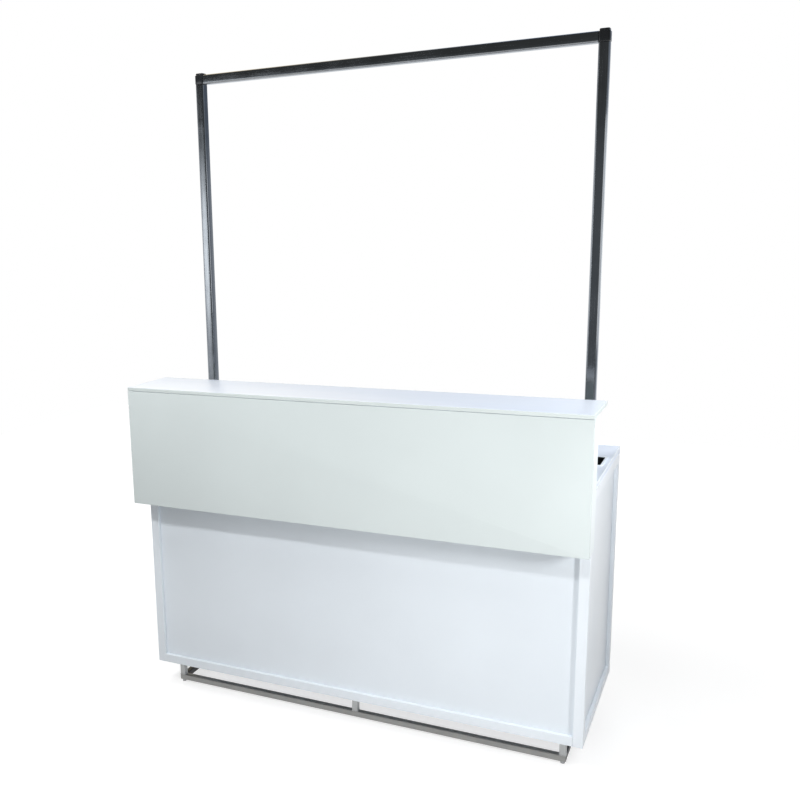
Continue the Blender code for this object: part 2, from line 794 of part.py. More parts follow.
def make_lock():
    """The door lock: a ring with a barrel through the door, and the cylinder that a key turns."""
    head = GAP + LOCK_HEAD
    barrel = -DOOR_THICKNESS + LOCK_BEVEL
    ring_profile = [
        (LOCK_BORE_RADIUS, barrel),
        (LOCK_BORE_RADIUS, head),
        (LOCK_RADIUS - LOCK_BEVEL, head),
        (LOCK_RADIUS, head - LOCK_BEVEL),
        (LOCK_RADIUS, GAP),
        (LOCK_BARREL_RADIUS, GAP),
        (LOCK_BARREL_RADIUS, barrel),
        (LOCK_BORE_RADIUS, barrel),
    ]
    place_at = Vector((lock_x(), door_y["left"] + DOOR_THICKNESS / 2, handle_z))
    ring = turned(ring_profile, ROUND_STEPS)
    place(ring, place_at, Z_AXIS, X_AXIS)
    as_part(ring, "door_lock_ring", "chrome")
    radius = LOCK_BORE_RADIUS - GAP
    face = head - LOCK_BEVEL / 2
    cylinder_profile = [(0, face), (radius, face), (radius, barrel), (0, barrel)]
    core = turned(cylinder_profile, ROUND_STEPS)
    place(core, place_at, Z_AXIS, X_AXIS)
    slot = box(
        (-KEY_SLOT_LENGTH / 2, -KEY_SLOT_WIDTH / 2, face - KEY_SLOT_DEPTH),
        (KEY_SLOT_LENGTH / 2, KEY_SLOT_WIDTH / 2, face + OVERRUN),
    )
    slot.data.transform(Matrix.Translation(slot.location))
    place(slot, place_at, Z_AXIS, X_AXIS)
    boolean(core, slot, "DIFFERENCE")
    as_part(core, "door_lock_cylinder", "chrome")


def make_cabinet():
    """The cabinet with its boards, worktop, doors and lock."""
    make_corner_posts()
    make_rails()
    make_panels()
    make_floor()
    make_inner_shelf()
    make_cleats()
    make_worktop()
    make_collars()
    make_tracks()
    make_doors()
    make_pulls()
    make_lock()


# Bar front

fascia_half = half_width + FASCIA_OVERHANG
fascia_back = fascia_front + FASCIA_THICKNESS
bar_rear = fascia_front + BAR_SHELF_DEPTH
gable_rear = bar_rear - GABLE_SETBACK
gable_x = half_width - GABLE_INSET - GABLE_THICKNESS / 2
GABLES = (("left", -gable_x), ("centre", 0), ("right", gable_x))


def make_fascia():
    """The fascia, the returns that close its ends and the bar shelf on top."""
    top = bar_bottom - GAP
    fascia = box(
        (-fascia_half, fascia_front, fascia_bottom),
        (fascia_half, fascia_back, top),
        BOARD_EDGE,
    )
    as_part(fascia, "fascia_panel", "board")
    for side, sign in SIDES:
        outer = sign * fascia_half
        inner = sign * (fascia_half - FASCIA_THICKNESS)
        fascia_return = box(
            (min(outer, inner), fascia_back + GAP, fascia_bottom),
            (max(outer, inner), body_front - GAP, top),
            BOARD_EDGE,
        )
        as_part(fascia_return, "fascia_return_" + side, "board")
    shelf = box(
        (-fascia_half, fascia_front, bar_bottom),
        (fascia_half, bar_rear, bar_top),
        BOARD_EDGE,
    )
    as_part(shelf, "bar_shelf", "board")


def gable_outline():
    """An L on its side: over the worktop, and down between the cabinet and the fascia."""
    front = fascia_back + GAP
    crook = body_front - GAP
    foot = worktop_top + GAP
    low = fascia_bottom + GABLE_CLEAR
    top = bar_bottom - GAP
    return [
        (front + GABLE_RADIUS, low), (crook, low), (crook, foot), (gable_rear, foot),
        (gable_rear, top), (front, top), (front, low + GABLE_RADIUS),
    ]


def make_gables():
    """Three upright boards that carry the bar shelf and the fascia."""
    for name, x in GABLES:
        gable = extrusion([gable_outline()], GABLE_THICKNESS)
        place(gable, Vector((x, 0, 0)), Y_AXIS, Z_AXIS)
        as_part(gable, "bar_gable_" + name, "board")


# Header frame

socket_bore = HEADER_TUBE + 2 * SOCKET_CLEARANCE
socket_side = socket_bore + 2 * SOCKET_WALL
socket_bottom = inner_shelf_bottom + INNER_SHELF_THICKNESS + SOCKET_CLEAR
header_bottom = socket_bottom + SOCKET_PLATE + GAP
knob_z = frame_top - KNOB_DROP
socket_face = post_y - socket_side / 2


def make_header_tubes():
    """Two header posts and the bar between the corner connectors."""
    outlines = tube_outlines(HEADER_TUBE, HEADER_RADIUS, HEADER_WALL)
    high = connector_bottom - GAP
    for side, sign in SIDES:
        post = extrusion(outlines, high - header_bottom)
        place(post, Vector((sign * post_x, post_y, (high + header_bottom) / 2)))
        as_part(post, "header_post_" + side, "polished")
    bar = extrusion(outlines, 2 * post_x - HEADER_TUBE - 2 * GAP)
    place(bar, Vector((0, post_y, header_top - HEADER_TUBE / 2)), Y_AXIS, Z_AXIS)
    as_part(bar, "header_top_bar", "polished")


def make_connectors():
    """A corner block on each post, with a stub into the post and one into the bar."""
    half = HEADER_TUBE / 2
    stub = half - HEADER_WALL - GAP
    middle_z = header_top - half
    for side, sign in SIDES:
        x = sign * post_x
        block = extrusion([rounded_square(HEADER_TUBE, HEADER_RADIUS)], CONNECTOR_RISE + HEADER_TUBE)
        place(block, Vector((x, post_y, header_top - (HEADER_TUBE - CONNECTOR_RISE) / 2)))
        bevelled(block, CONNECTOR_EDGE)
        down = box(
            (x - stub, post_y - stub, connector_bottom - CONNECTOR_STUB),
            (x + stub, post_y + stub, middle_z),
            HEADER_RADIUS - HEADER_WALL,
        )
        reach = x - sign * (half + CONNECTOR_STUB)
        across = box(
            (min(x, reach), post_y - stub, middle_z - stub),
            (max(x, reach), post_y + stub, middle_z + stub),
            HEADER_RADIUS - HEADER_WALL,
        )
        boolean(block, down, "UNION")
        boolean(block, across, "UNION")
        as_part(block, "header_corner_" + side, "black")


def make_sockets():
    """A welded socket under each slot: a tube with a foot plate, a wing plate and a nut boss."""
    half = socket_side / 2
    plate_low = frame_top - SOCKET_PLATE
    for side, sign in SIDES:
        x = sign * post_x
        inner = x - sign * (half + SOCKET_PLATE_WING)
        outer = x + sign * (half + SOCKET_PLATE_LIP)
        socket = box(
            (min(inner, outer), socket_face - SOCKET_PLATE_LIP, plate_low),
            (max(inner, outer), post_y + half + SOCKET_PLATE_WING, frame_top),
        )
        tube = box(
            (x - half, post_y - half, socket_bottom),
            (x + half, post_y + half, plate_low + SOCKET_PLATE / 2),
        )
        boolean(socket, tube, "UNION")
        boss = cylinder(BOSS_RADIUS, BOSS_LENGTH + SOCKET_WALL, SMALL_ROUND_STEPS)
        boss_middle = socket_face - BOSS_LENGTH + (BOSS_LENGTH + SOCKET_WALL) / 2
        place(boss, Vector((x, boss_middle, knob_z)), X_AXIS, Z_AXIS)
        boolean(socket, boss, "UNION")
        bore = box(
            (x - socket_bore / 2, post_y - socket_bore / 2, socket_bottom + SOCKET_PLATE),
            (x + socket_bore / 2, post_y + socket_bore / 2, frame_top + OVERRUN),
        )
        boolean(socket, bore, "DIFFERENCE")
        hole = cylinder(
            STUD_RADIUS + BORE_CLEARANCE,
            BOSS_LENGTH + SOCKET_WALL + 2 * OVERRUN,
            SMALL_ROUND_STEPS,
        )
        place(hole, Vector((x, boss_middle, knob_z)), X_AXIS, Z_AXIS)
        boolean(socket, hole, "DIFFERENCE")
        as_part(socket, "header_socket_" + side, "steel")


def knob_outline():
    """A round knob with shallow lobes, as a radius that varies with the angle."""
    points = []
    count = KNOB_LOBES * LOBE_STEPS
    for index in range(count):
        angle = index / count * 2 * math.pi
        radius = KNOB_RADIUS - KNOB_LOBE + KNOB_LOBE * math.cos(KNOB_LOBES * angle)
        points.append((radius * math.cos(angle), radius * math.sin(angle)))
    return points


def make_knobs():
    """A clamp knob on the front of each socket, its stud up against the header post."""
    back = socket_face - BOSS_LENGTH - KNOB_GAP
    tip = post_y - HEADER_TUBE / 2 - GAP
    root = back - KNOB_THICKNESS / 2
    for side, sign in SIDES:
        x = sign * post_x
        knob = extrusion([knob_outline()], KNOB_THICKNESS)
        place(knob, Vector((x, root, knob_z)), X_AXIS, -Z_AXIS)
        stud = cylinder(STUD_RADIUS, tip - root, SMALL_ROUND_STEPS)
        place(stud, Vector((x, (tip + root) / 2, knob_z)), X_AXIS, -Z_AXIS)
        boolean(knob, stud, "UNION")
        as_part(knob, "clamp_knob_" + side, "black")


def make_header():
    """The header frame and what holds it in the cabinet."""
    make_header_tubes()
    make_connectors()
    make_sockets()
    make_knobs()


make_base()
make_cabinet()
make_fascia()
make_gables()
make_header()
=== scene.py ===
# %% [markdown]
# An exhibition counter, dressed for its picture
#
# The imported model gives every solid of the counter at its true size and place. This lesson
# puts real finishes on those solids, and where a finer shape shows, such as on the polished
# header frame, it makes that piece again from a formula and lets it stand for the solid.

# %% Load the frame
import bpy
import numpy as np
from math import cos, pi, radians, sin
from mathutils import Matrix, Vector


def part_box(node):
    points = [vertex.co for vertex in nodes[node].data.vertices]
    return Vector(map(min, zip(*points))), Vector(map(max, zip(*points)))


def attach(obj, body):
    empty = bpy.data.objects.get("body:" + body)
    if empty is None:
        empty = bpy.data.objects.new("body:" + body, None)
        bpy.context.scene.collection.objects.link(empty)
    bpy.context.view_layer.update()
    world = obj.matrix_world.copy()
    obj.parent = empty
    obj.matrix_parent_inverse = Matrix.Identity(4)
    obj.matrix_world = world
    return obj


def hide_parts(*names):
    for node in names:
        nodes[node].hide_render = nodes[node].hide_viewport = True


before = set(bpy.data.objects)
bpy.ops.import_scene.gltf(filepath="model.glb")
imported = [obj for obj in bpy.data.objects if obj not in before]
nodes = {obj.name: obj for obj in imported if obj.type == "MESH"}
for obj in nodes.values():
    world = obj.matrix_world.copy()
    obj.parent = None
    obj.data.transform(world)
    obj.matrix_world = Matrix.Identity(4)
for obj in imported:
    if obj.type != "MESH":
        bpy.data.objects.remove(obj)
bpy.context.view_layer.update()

# %% [markdown]
# The camera
#
# The photograph was taken from the right of the counter, from a height of 1.62 m, with the
# camera tilted down a little. A pinhole camera was fitted to the straight edges seen in it.
# A camera can be turned by angles set by hand, but a fitted one is surer: the three axes below
# are worked out from its three angles, so the counter falls on the same pixels as in the
# photograph. The picture's centre isn't the camera's, so the lens is shifted by the difference.

# %% Camera
CAMERA_PLACE = Vector((1.1313, -2.8906, 1.6224))
CAMERA_TURN = radians(26.6195)
CAMERA_TILT = radians(11.7667)
CAMERA_ROLL = radians(1.4983)
FOCAL_PIXELS = 945.854
FRAME_PIXELS = 800
CENTRE_ACROSS = 287.55
CENTRE_DOWN = 427.36
SENSOR = 36.0
FAR_LIMIT = 100.0


def camera_axes(turn, tilt, roll):
    """The right, up and forward directions of a camera turned to the left, tilted down and rolled."""
    forward = Vector((-sin(turn) * cos(tilt), cos(turn) * cos(tilt),
                      -sin(tilt)))
    right = Vector((cos(turn), sin(turn), 0.0))
    down = forward.cross(right)
    level_right = cos(roll) * right + sin(roll) * down
    level_down = cos(roll) * down - sin(roll) * right
    return level_right, -level_down, forward


right, up, forward = camera_axes(CAMERA_TURN, CAMERA_TILT, CAMERA_ROLL)
lens = bpy.data.cameras.new("camera")
lens.sensor_width = SENSOR
lens.lens = FOCAL_PIXELS / FRAME_PIXELS * SENSOR
lens.shift_x = 0.5 - CENTRE_ACROSS / FRAME_PIXELS
lens.shift_y = CENTRE_DOWN / FRAME_PIXELS - 0.5
lens.clip_end = FAR_LIMIT
camera = bpy.data.objects.new("camera", lens)
turning = Matrix((right, up, -forward)).transposed()
camera.matrix_world = Matrix.Translation(CAMERA_PLACE) @ turning.to_4x4()
bpy.context.scene.collection.objects.link(camera)
bpy.context.scene.camera = camera
bpy.context.scene.view_settings.view_transform = "Standard"
print("lens", round(lens.lens, 2), "mm")

# %% [markdown]
# Writing a finish in few words
#
# A finish is a small graph of nodes. Building it by hand takes many lines, so helpers shorten
# it: one adds a node and fills its inputs, one starts a material and hands back its shader, and
# the rest are the few steps that most finishes share, such as noise, a colour ramp and a bump.
# Inputs that are the same all over go straight on the shader's own sockets.

# %% Helpers for finishes


def add_node(material, kind, inputs=(), **settings):
    """A node of a graph. Each input gets a number, or a wire from another node's output."""
    item = material.node_tree.nodes.new("ShaderNode" + kind)
    for key, value in settings.items():
        setattr(item, key, value)
    for key, value in dict(inputs).items():
        if isinstance(value, bpy.types.NodeSocket):
            material.node_tree.links.new(value, item.inputs[key])
        else:
            item.inputs[key].default_value = value
    return item


def start_finish(name, colour, **values):
    """A new material and its shader: colour in linear numbers, other shader inputs by name."""
    material = bpy.data.materials.new(name)
    material.use_nodes = True
    shader = material.node_tree.nodes["Principled BSDF"]
    shader.inputs["Base Color"].default_value = (*colour, 1.0)
    for key, value in values.items():
        shader.inputs[key].default_value = value
    return material, shader


def wire(material, output, shader, name):
    """One wire from a node's output to an input of the shader."""
    material.node_tree.links.new(output, shader.inputs[name])


def place_of(material, stretch=(1.0, 1.0, 1.0)):
    """Object coordinates in metres, stretched along the axes, to lay a pattern on a piece."""
    where = add_node(material, "TexCoord")
    mapping = add_node(material, "Mapping", {"Vector": where.outputs["Object"]})
    mapping.inputs["Scale"].default_value = stretch
    return mapping.outputs["Vector"]


def speckle(material, lumps, detail, stretch=(1.0, 1.0, 1.0)):
    """Soft noise between 0 and 1, with the given number of lumps to the metre."""
    inputs = {"Vector": place_of(material, stretch), "Scale": lumps, "Detail": detail}
    return add_node(material, "TexNoise", inputs).outputs["Fac"]


def ramp(material, value, *stops):
    """A colour ramp through (place, colour) stops."""
    item = add_node(material, "ValToRGB", {"Fac": value})
    elements = item.color_ramp.elements
    while len(elements) < len(stops):
        elements.new(0.5)
    for element, (place, colour) in zip(elements, stops):
        element.position = place
        element.color = (*colour, 1.0)
    return item.outputs["Color"]


def range_of(material, value, low, high, start=0.0, end=1.0, way="SMOOTHSTEP"):
    """A number that goes from start to end while the value goes from low to high."""
    inputs = {"Value": value, "From Min": low, "From Max": high, "To Min": start, "To Max": end}
    return add_node(material, "MapRange", inputs, interpolation_type=way).outputs["Result"]


def spread(material, value, low, high):
    """Noise turned into a number from low to high. Noise seldom leaves its range's middle half."""
    return range_of(material, value, 0.25, 0.75, low, high, "LINEAR")


def times(material, first, second):
    """The product of two numbers."""
    return add_node(material, "Math", {0: first, 1: second}, operation="MULTIPLY").outputs[0]


def larger(material, first, second):
    """The larger of two numbers."""
    return add_node(material, "Math", {0: first, 1: second}, operation="MAXIMUM").outputs[0]


def blend_of(material, share, first, second):
    """Two colours mixed by a share. A colour is three numbers or another node's output. A Mix node
    has its colours at inputs 6 and 7, and the mixed colour at output 2."""
    shades = [shade if isinstance(shade, bpy.types.NodeSocket) else (*shade, 1.0)
              for shade in (first, second)]
    return add_node(material, "Mix", {0: share, 6: shades[0], 7: shades[1]},
                    data_type="RGBA").outputs[2]


EASE_SAMPLES = 4


def relief(material, shader, height, depth, edge=0.0):
    """A bump of the given depth in metres, from a height between 0 and 1. Sharp edges can be eased
    by a radius, which a Bevel node works out."""
    inputs = {"Height": height, "Distance": depth}
    if edge:
        eased = add_node(material, "Bevel", {"Radius": edge}, samples=EASE_SAMPLES)
        inputs["Normal"] = eased.outputs["Normal"]
    wire(material, add_node(material, "Bump", inputs).outputs["Normal"], shader, "Normal")


# %% [markdown]
# White finishes
#
# The counter is white all over, but in seven kinds of white. The frame profiles are powder
# coated, which leaves a fine orange peel. The fascia and the gables have a melamine face,
# faintly green in the photograph, with a satin tooth, and the fascia's end returns are a little
# brighter. The shelf and the worktop are a colder laminate with faint lengthwise wiping
# streaks, and the shelf's upright edges are banded in the fascia's tone. The worktop's edging
# is a moulded white strip, and along its groove a darker, bluish band is painted shade. The
# infills and the sliding doors are thin composite sheets, cold and smoother, and small fittings
# are a duller moulded plastic.
# One white could be tinted for all, but each surface here gets its own noise at its true scale,
# because the size of the peel or the streaks is what tells paint from laminate.

# %% White finishes
EDGE_RADIUS = 0.0010
PAINTED_GROOVE_EASE = 0.0006
BAND_TILT = (0.35, 0.65)
CLOUD_LUMPS = 2.2
CLOUD_SHADES = (0.965, 1.02)
CLOUD_STOPS = (0.3, 0.7)
SMEAR_LUMPS = 9.0
SMEAR_STRETCH = (1.0, 1.0, 0.35)


def banded(material, face_shade, band_shade):
    """A board's shade: where its surface stands upright, it has a band of its own colour."""
    normal = add_node(material, "TexCoord").outputs["Normal"]
    height = add_node(material, "SeparateXYZ", {"Vector": normal}).outputs["Z"]
    level = add_node(material, "Math", {0: height}, operation="ABSOLUTE").outputs[0]
    return blend_of(material, range_of(material, level, *BAND_TILT), band_shade, face_shade)


def painted_groove_shade(material, lip_shade, painted_shade, low, high):
    """An edging strip's painted shade: along its groove, between two heights, the colour turns darker
    and bluish.
    """
    height = add_node(material, "SeparateXYZ", {"Vector": place_of(material)}).outputs["Z"]
    above = range_of(material, height, low - PAINTED_GROOVE_EASE, low + PAINTED_GROOVE_EASE)
    below = range_of(material, height, high - PAINTED_GROOVE_EASE, high + PAINTED_GROOVE_EASE, 1.0, 0.0)
    return blend_of(material, times(material, above, below), lip_shade, painted_shade)


def white_finish(name, colour, rough, peel, depth, streak=SMEAR_STRETCH, edge=0.0, band=None,
                 painted_groove=None):
    """A painted or laminated white: clouds of two close whites, uneven gloss, and a fine relief of
    the given lumps to the metre and depth in metres."""
    material, shader = start_finish(name, colour)
    clouds = speckle(material, CLOUD_LUMPS, 3.0)
    stops = [(place, tuple(factor * value for value in colour))
             for place, factor in zip(CLOUD_STOPS, CLOUD_SHADES)]
    shade = ramp(material, clouds, *stops)
    if band:
        shade = banded(material, shade, band)
    # Painted shade, if given: a darker band between two heights, standing in for shade in a groove.
    if painted_groove:
        shade = painted_groove_shade(material, shade, *painted_groove)
    wire(material, shade, shader, "Base Color")
    smears = speckle(material, SMEAR_LUMPS, 4.0, streak)
    wire(material, spread(material, smears, *rough), shader, "Roughness")
    relief(material, shader, speckle(material, peel, 1.0), depth, edge)
    return material


powder_coat = white_finish("white_powder_coat", (0.812, 0.863, 0.912), rough=(0.30, 0.42),
                           peel=620.0, depth=0.00006, edge=EDGE_RADIUS)
fascia_laminate = white_finish("white_fascia_laminate", (0.643, 0.703, 0.702), rough=(0.36, 0.50),
                               peel=1500.0, depth=0.00003)
top_laminate = white_finish("white_top_laminate", (0.782, 0.846, 0.951), rough=(0.26, 0.42),
                            peel=1500.0, depth=0.00002, streak=(0.12, 2.4, 1.0),
                            edge=EDGE_RADIUS, band=(0.64, 0.70, 0.69))
return_laminate = white_finish("white_return_laminate", (0.80, 0.86, 0.88), rough=(0.36, 0.50),
                               peel=1500.0, depth=0.00003)
top_low, top_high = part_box("worktop")
# Painted shade: the edging's groove, between these two heights, is coloured darker and bluish.
EDGING_PAINTED_GROOVE_SHADE = ((0.67, 0.77, 0.92), top_low.z + 0.0068, top_high.z - 0.0066)
edging_white_and_painted_groove = white_finish("white_edging_strip_painted_groove_shade", (0.825, 0.890, 0.960), rough=(0.24, 0.34),
                            peel=60.0, depth=0.00002, painted_groove=EDGING_PAINTED_GROOVE_SHADE)
composite = white_finish("white_composite_sheet", (0.776, 0.831, 0.882), rough=(0.28, 0.38),
                         peel=260.0, depth=0.00003, edge=EDGE_RADIUS)
moulded_white = white_finish("white_moulded_plastic", (0.74, 0.76, 0.78), rough=(0.32, 0.44),
                             peel=900.0, depth=0.00004, edge=EDGE_RADIUS)
print("white finishes 7")

# %% [markdown]
# Dark, steel and chrome finishes
#
# The header is drawn and polished steel. It looks nearly black where it mirrors a dim room and
# shows bright lines where its round corners mirror the pale wall. Its drawing lines run along
# each tube. They could be drawn along a layout of each surface, but noise that is stretched
# along the tube's own axis gives the same lines with no layout, so there is one finish for each
# direction. The base tube is duller ground steel with coarser lines, and its copies for each
# direction also carry painted shade: the side rails are painted nearly black where they lie in
# shade under the cabinet, and the posts are painted paler where light falls on them.

# %% Dark, steel and chrome finishes
ALONG_TUBE = 0.012
SMUDGE_LUMPS = 14.0


def drawn_steel(name, colour, contrast, rough, lines, depth, axis, metallic=1.0):
    """Metal with smudges, and noise stretched along a tube's axis, which reads as drawing lines.
    The product of two noises is doubled, so that it stays about the middle."""
    material, shader = start_finish(name, colour, Metallic=metallic)
    stretch = [1.0, 1.0, 1.0]
    stretch[axis] = ALONG_TUBE
    streaks = speckle(material, lines, 2.0, stretch)
    smudge = speckle(material, SMUDGE_LUMPS, 5.0)
    both = times(material, times(material, streaks, smudge), 2.0)
    dark, pale = (tuple(factor * value for value in colour)
                  for factor in (1.0 - contrast, 1.0 + contrast))
    wire(material, ramp(material, both, (0.25, dark), (0.75, pale)), shader, "Base Color")
    wire(material, spread(material, both, *rough), shader, "Roughness")
    relief(material, shader, streaks, depth)
    return material


AXIS_NAMES = ("across", "back", "up")
HEADER_SHADE = (0.25, 0.26, 0.27)
# Painted shade by direction: rails across keep the steel's grey, side rails are painted nearly black
# as shaded, posts paler as lit.
BASE_PAINTED_SHADES = ((0.33, 0.33, 0.32), (0.06, 0.06, 0.06), (0.52, 0.53, 0.53))
header_finish = [drawn_steel(f"polished_header_steel_{word}", HEADER_SHADE, contrast=0.10,
                             rough=(0.09, 0.20), lines=500.0, depth=0.000005, axis=axis)
                 for axis, word in enumerate(AXIS_NAMES)]
base_steel_and_painted_shade = [drawn_steel(f"ground_base_steel_painted_shade_{word}", BASE_PAINTED_SHADES[axis], contrast=0.14,
                           rough=(0.42, 0.58), lines=700.0, depth=0.00003, axis=axis, metallic=0.55)
               for axis, word in enumerate(AXIS_NAMES)]
zinc = drawn_steel("zinc_plated_steel", (0.50, 0.52, 0.54), contrast=0.14, rough=(0.25, 0.42),
                   lines=400.0, depth=0.00002, axis=2)


def rubbed_finish(name, dark, pale, rough, grain, depth, rubs=SMUDGE_LUMPS, stops=(0.35, 0.75),
                  metallic=0.0):
    """Moulded plastic or plating: a fine grain, and a little paler where it is rubbed."""
    material, shader = start_finish(name, dark, Metallic=metallic)
    rub = speckle(material, rubs, 3.0)
    wire(material, ramp(material, rub, *zip(stops, (dark, pale))), shader, "Base Color")
    wire(material, spread(material, rub, *rough), shader, "Roughness")
    relief(material, shader, speckle(material, grain, 1.0), depth)
    return material


black_plastic = rubbed_finish("black_grained_plastic", (0.018, 0.018, 0.019), (0.04, 0.04, 0.042),
                              rough=(0.42, 0.58), grain=1300.0, depth=0.00008)
corner_plastic = rubbed_finish("black_glossy_plastic", (0.010, 0.011, 0.012), (0.016, 0.017, 0.019),
                               rough=(0.12, 0.20), grain=300.0, depth=0.00001)
foot_plastic = rubbed_finish("grey_foot_plastic", (0.42, 0.43, 0.44), (0.50, 0.51, 0.52),
                             rough=(0.40, 0.55), grain=900.0, depth=0.00006)
chrome = rubbed_finish("bright_chrome", (0.66, 0.67, 0.69), (0.74, 0.75, 0.77), rough=(0.10, 0.20),
                       grain=500.0, depth=0.000005, rubs=60.0, stops=(0.3, 0.7), metallic=1.0)
print("steels", len(header_finish) + len(base_steel_and_painted_shade) + 1, "plastics 3 and chrome 1")

# %% [markdown]
# Each finish on its solids
#
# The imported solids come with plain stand-in materials, one for each slot of the record. Each
# stand-in is exchanged for the finish of its slot. The doors are the exception: their slot is the
# boards', but they are composite sheets, and have no banded edges.

# %% Put each finish on its solids
FINISH_OF_SLOT = {
    "white_profile": powder_coat,
    "white_board": top_laminate,
    "white_panel": composite,
    "white_plastic": moulded_white,
    "black_plastic": black_plastic,
    "base_steel": zinc,
    "header_steel": header_finish[2],
    "chrome_trim": chrome,
}
for item in nodes.values():
    for place, old in enumerate(item.data.materials):
        item.data.materials[place] = FINISH_OF_SLOT[old.name]
SIDES = ("left", "right")
for side in SIDES:
    nodes[f"rear_door_{side}"].data.materials[0] = composite
print("finishes on", len(nodes), "solids")

# %% [markdown]
# The floor
#
# The photograph has no floor and a white ground. A white floor is laid, which keeps the
# counter's shadow, and the world behind it is white to the camera. Brighter lamps could whiten
# both, but they would bleach the counter too, so the white comes from the floor's own material
# and from the world, by the kind of ray that sees them.

# %% Floor
FLOOR_HALF = 4.5
FLOOR_SHADE = (0.45, 0.45, 0.45)
FLOOR_LIFT = 0.66
LIFT_FADE = (1.0, 3.2)


def floor_finish():
    """White floor: it takes shadow, and camera and mirror rays see it lifted to white, the more so
    the further it is from the counter."""
    material, shader = start_finish("studio_floor", FLOOR_SHADE, Roughness=0.9)
    ray = add_node(material, "LightPath")
    seen = ray.outputs["Is Camera Ray"]
    for other in ("Is Glossy Ray", "Is Transmission Ray"):
        seen = larger(material, seen, ray.outputs[other])
    away = add_node(material, "VectorMath", {0: place_of(material)}, operation="LENGTH")
    lift = range_of(material, away.outputs["Value"], *LIFT_FADE, FLOOR_LIFT, 1.0, "LINEAR")
    glow = times(material, seen, lift)
    light = add_node(material, "Emission", {"Strength": glow})
    both = add_node(material, "AddShader", {0: shader.outputs[0], 1: light.outputs[0]})
    output = material.node_tree.nodes["Material Output"]
    material.node_tree.links.new(both.outputs[0], output.inputs["Surface"])
    return material


floor_mesh = bpy.data.meshes.new("studio_floor")
corner = FLOOR_HALF * np.array([[-1, -1, 0], [1, -1, 0], [1, 1, 0], [-1, 1, 0]], float)
floor_mesh.from_pydata(corner.tolist(), [], [(0, 1, 2, 3)])
floor_mesh.materials.append(floor_finish())
floor = bpy.data.objects.new("studio_floor", floor_mesh)
bpy.context.scene.collection.objects.link(floor)
print("floor", 2 * FLOOR_HALF, "m wide")

# %% [markdown]
# The world and the room that mirrors see
#
# Polished tubes show the room around the counter, not the counter's own colour. An image of a
# room could be wrapped round the scene, but a few soft fields are enough, and each can be set
# until the tubes look as in the photograph: a dim room on the viewer's side, which is what makes
# the tubes dark, a pale wall at the left and behind, a window, and a pale ceiling. Surfaces get
# an even, weak light from the world, and the camera sees plain white.

# %% World
FRONT_HIGH = (0.095, 0.100, 0.100)
FRONT_LOW = (0.21, 0.23, 0.25)
BACK_SHADE = (0.20, 0.24, 0.31)
WALL_SHADE = (1.35, 1.40, 1.45)
SKIRT_SHADE = (0.75, 0.80, 0.88)
WALL_DIRECTION = (-0.866, 0.500, 0.0)
WINDOW_SHADE = (3.3, 3.45, 3.6)
WINDOW_TURN = radians(-121.0)
WINDOW_TILT = radians(-1.2)
RIGHT_SHADE = (0.40, 0.45, 0.52)
CEILING_LEFT = (1.75, 1.42, 0.85)
CEILING_RIGHT = (0.46, 0.58, 0.78)
FRONT_FADE = (0.03, 0.14)
BACK_FADE = (-0.6, 0.6)
RIGHT_FADE = (0.70, 0.95)
WALL_FADE = (0.05, 0.45)
WALL_BEHIND = (0.3, 0.9, 1.0, 0.62)
WALL_BOTTOM = (-0.13, -0.05)
WALL_TOP = (0.05, 0.15, 1.0, 0.22)
SKIRT_FADE = (-0.20, 0.10)
SKIRT_TOP = (0.04, 0.10, 1.0, 0.0)
WINDOW_FADE = (0.9950, 0.9999)
CEILING_SIDES = (-0.55, -0.20)
CEILING_BOTTOM = (0.18, 0.28)
CEILING_FRONT = (-0.2, 0.3)
AMBIENT = 0.08
AMBIENT_SHADE = (0.97, 0.985, 1.0, 1.0)
CAMERA_WHITE = (1.0, 1.0, 1.0, 1.0)


def facing(world, where, direction):
    """How far a ray's direction agrees with another direction: the cosine of the angle between."""
    return add_node(world, "VectorMath", {0: where, 1: direction},
                    operation="DOT_PRODUCT").outputs["Value"]


def mirrored_room(world, where):
    """What polished tubes mirror: a dim room, darker higher up in front, a pale wall on the left and
    behind up to head height, a soft window at the front left, and a pale ceiling behind. Each field
    fades in between two values of the ray's direction, whose three parts run from -1 to 1."""
    split = add_node(world, "SeparateXYZ", {"Vector": where})
    across, back, height = (split.outputs[axis] for axis in "XYZ")
    front_part = blend_of(world, range_of(world, height, *FRONT_FADE), FRONT_LOW, FRONT_HIGH)
    room = blend_of(world, range_of(world, back, *BACK_FADE), front_part, BACK_SHADE)
    room = blend_of(world, range_of(world, across, *RIGHT_FADE), room, RIGHT_SHADE)
    towards_wall = facing(world, where, WALL_DIRECTION)
    wide = range_of(world, towards_wall, *WALL_FADE)
    foot = larger(world, range_of(world, height, *WALL_BOTTOM), range_of(world, back, *WALL_BEHIND))
    tall = times(world, range_of(world, height, *WALL_TOP), foot)
    walled = blend_of(world, times(world, wide, tall), room, WALL_SHADE)
    skirt = times(world, range_of(world, towards_wall, *SKIRT_FADE),
                  range_of(world, height, *SKIRT_TOP))
    walled = blend_of(world, skirt, walled, blend_of(world, wide, SKIRT_SHADE, walled))
    window = Vector((cos(WINDOW_TURN) * cos(WINDOW_TILT),
                     sin(WINDOW_TURN) * cos(WINDOW_TILT), sin(WINDOW_TILT)))
    glow = range_of(world, facing(world, where, window), *WINDOW_FADE)
    windowed = blend_of(world, glow, walled, WINDOW_SHADE)
    ceiling = blend_of(world, range_of(world, across, *CEILING_SIDES), CEILING_LEFT, CEILING_RIGHT)
    above = times(world, range_of(world, height, *CEILING_BOTTOM),
                  range_of(world, back, *CEILING_FRONT))
    return blend_of(world, above, windowed, ceiling)


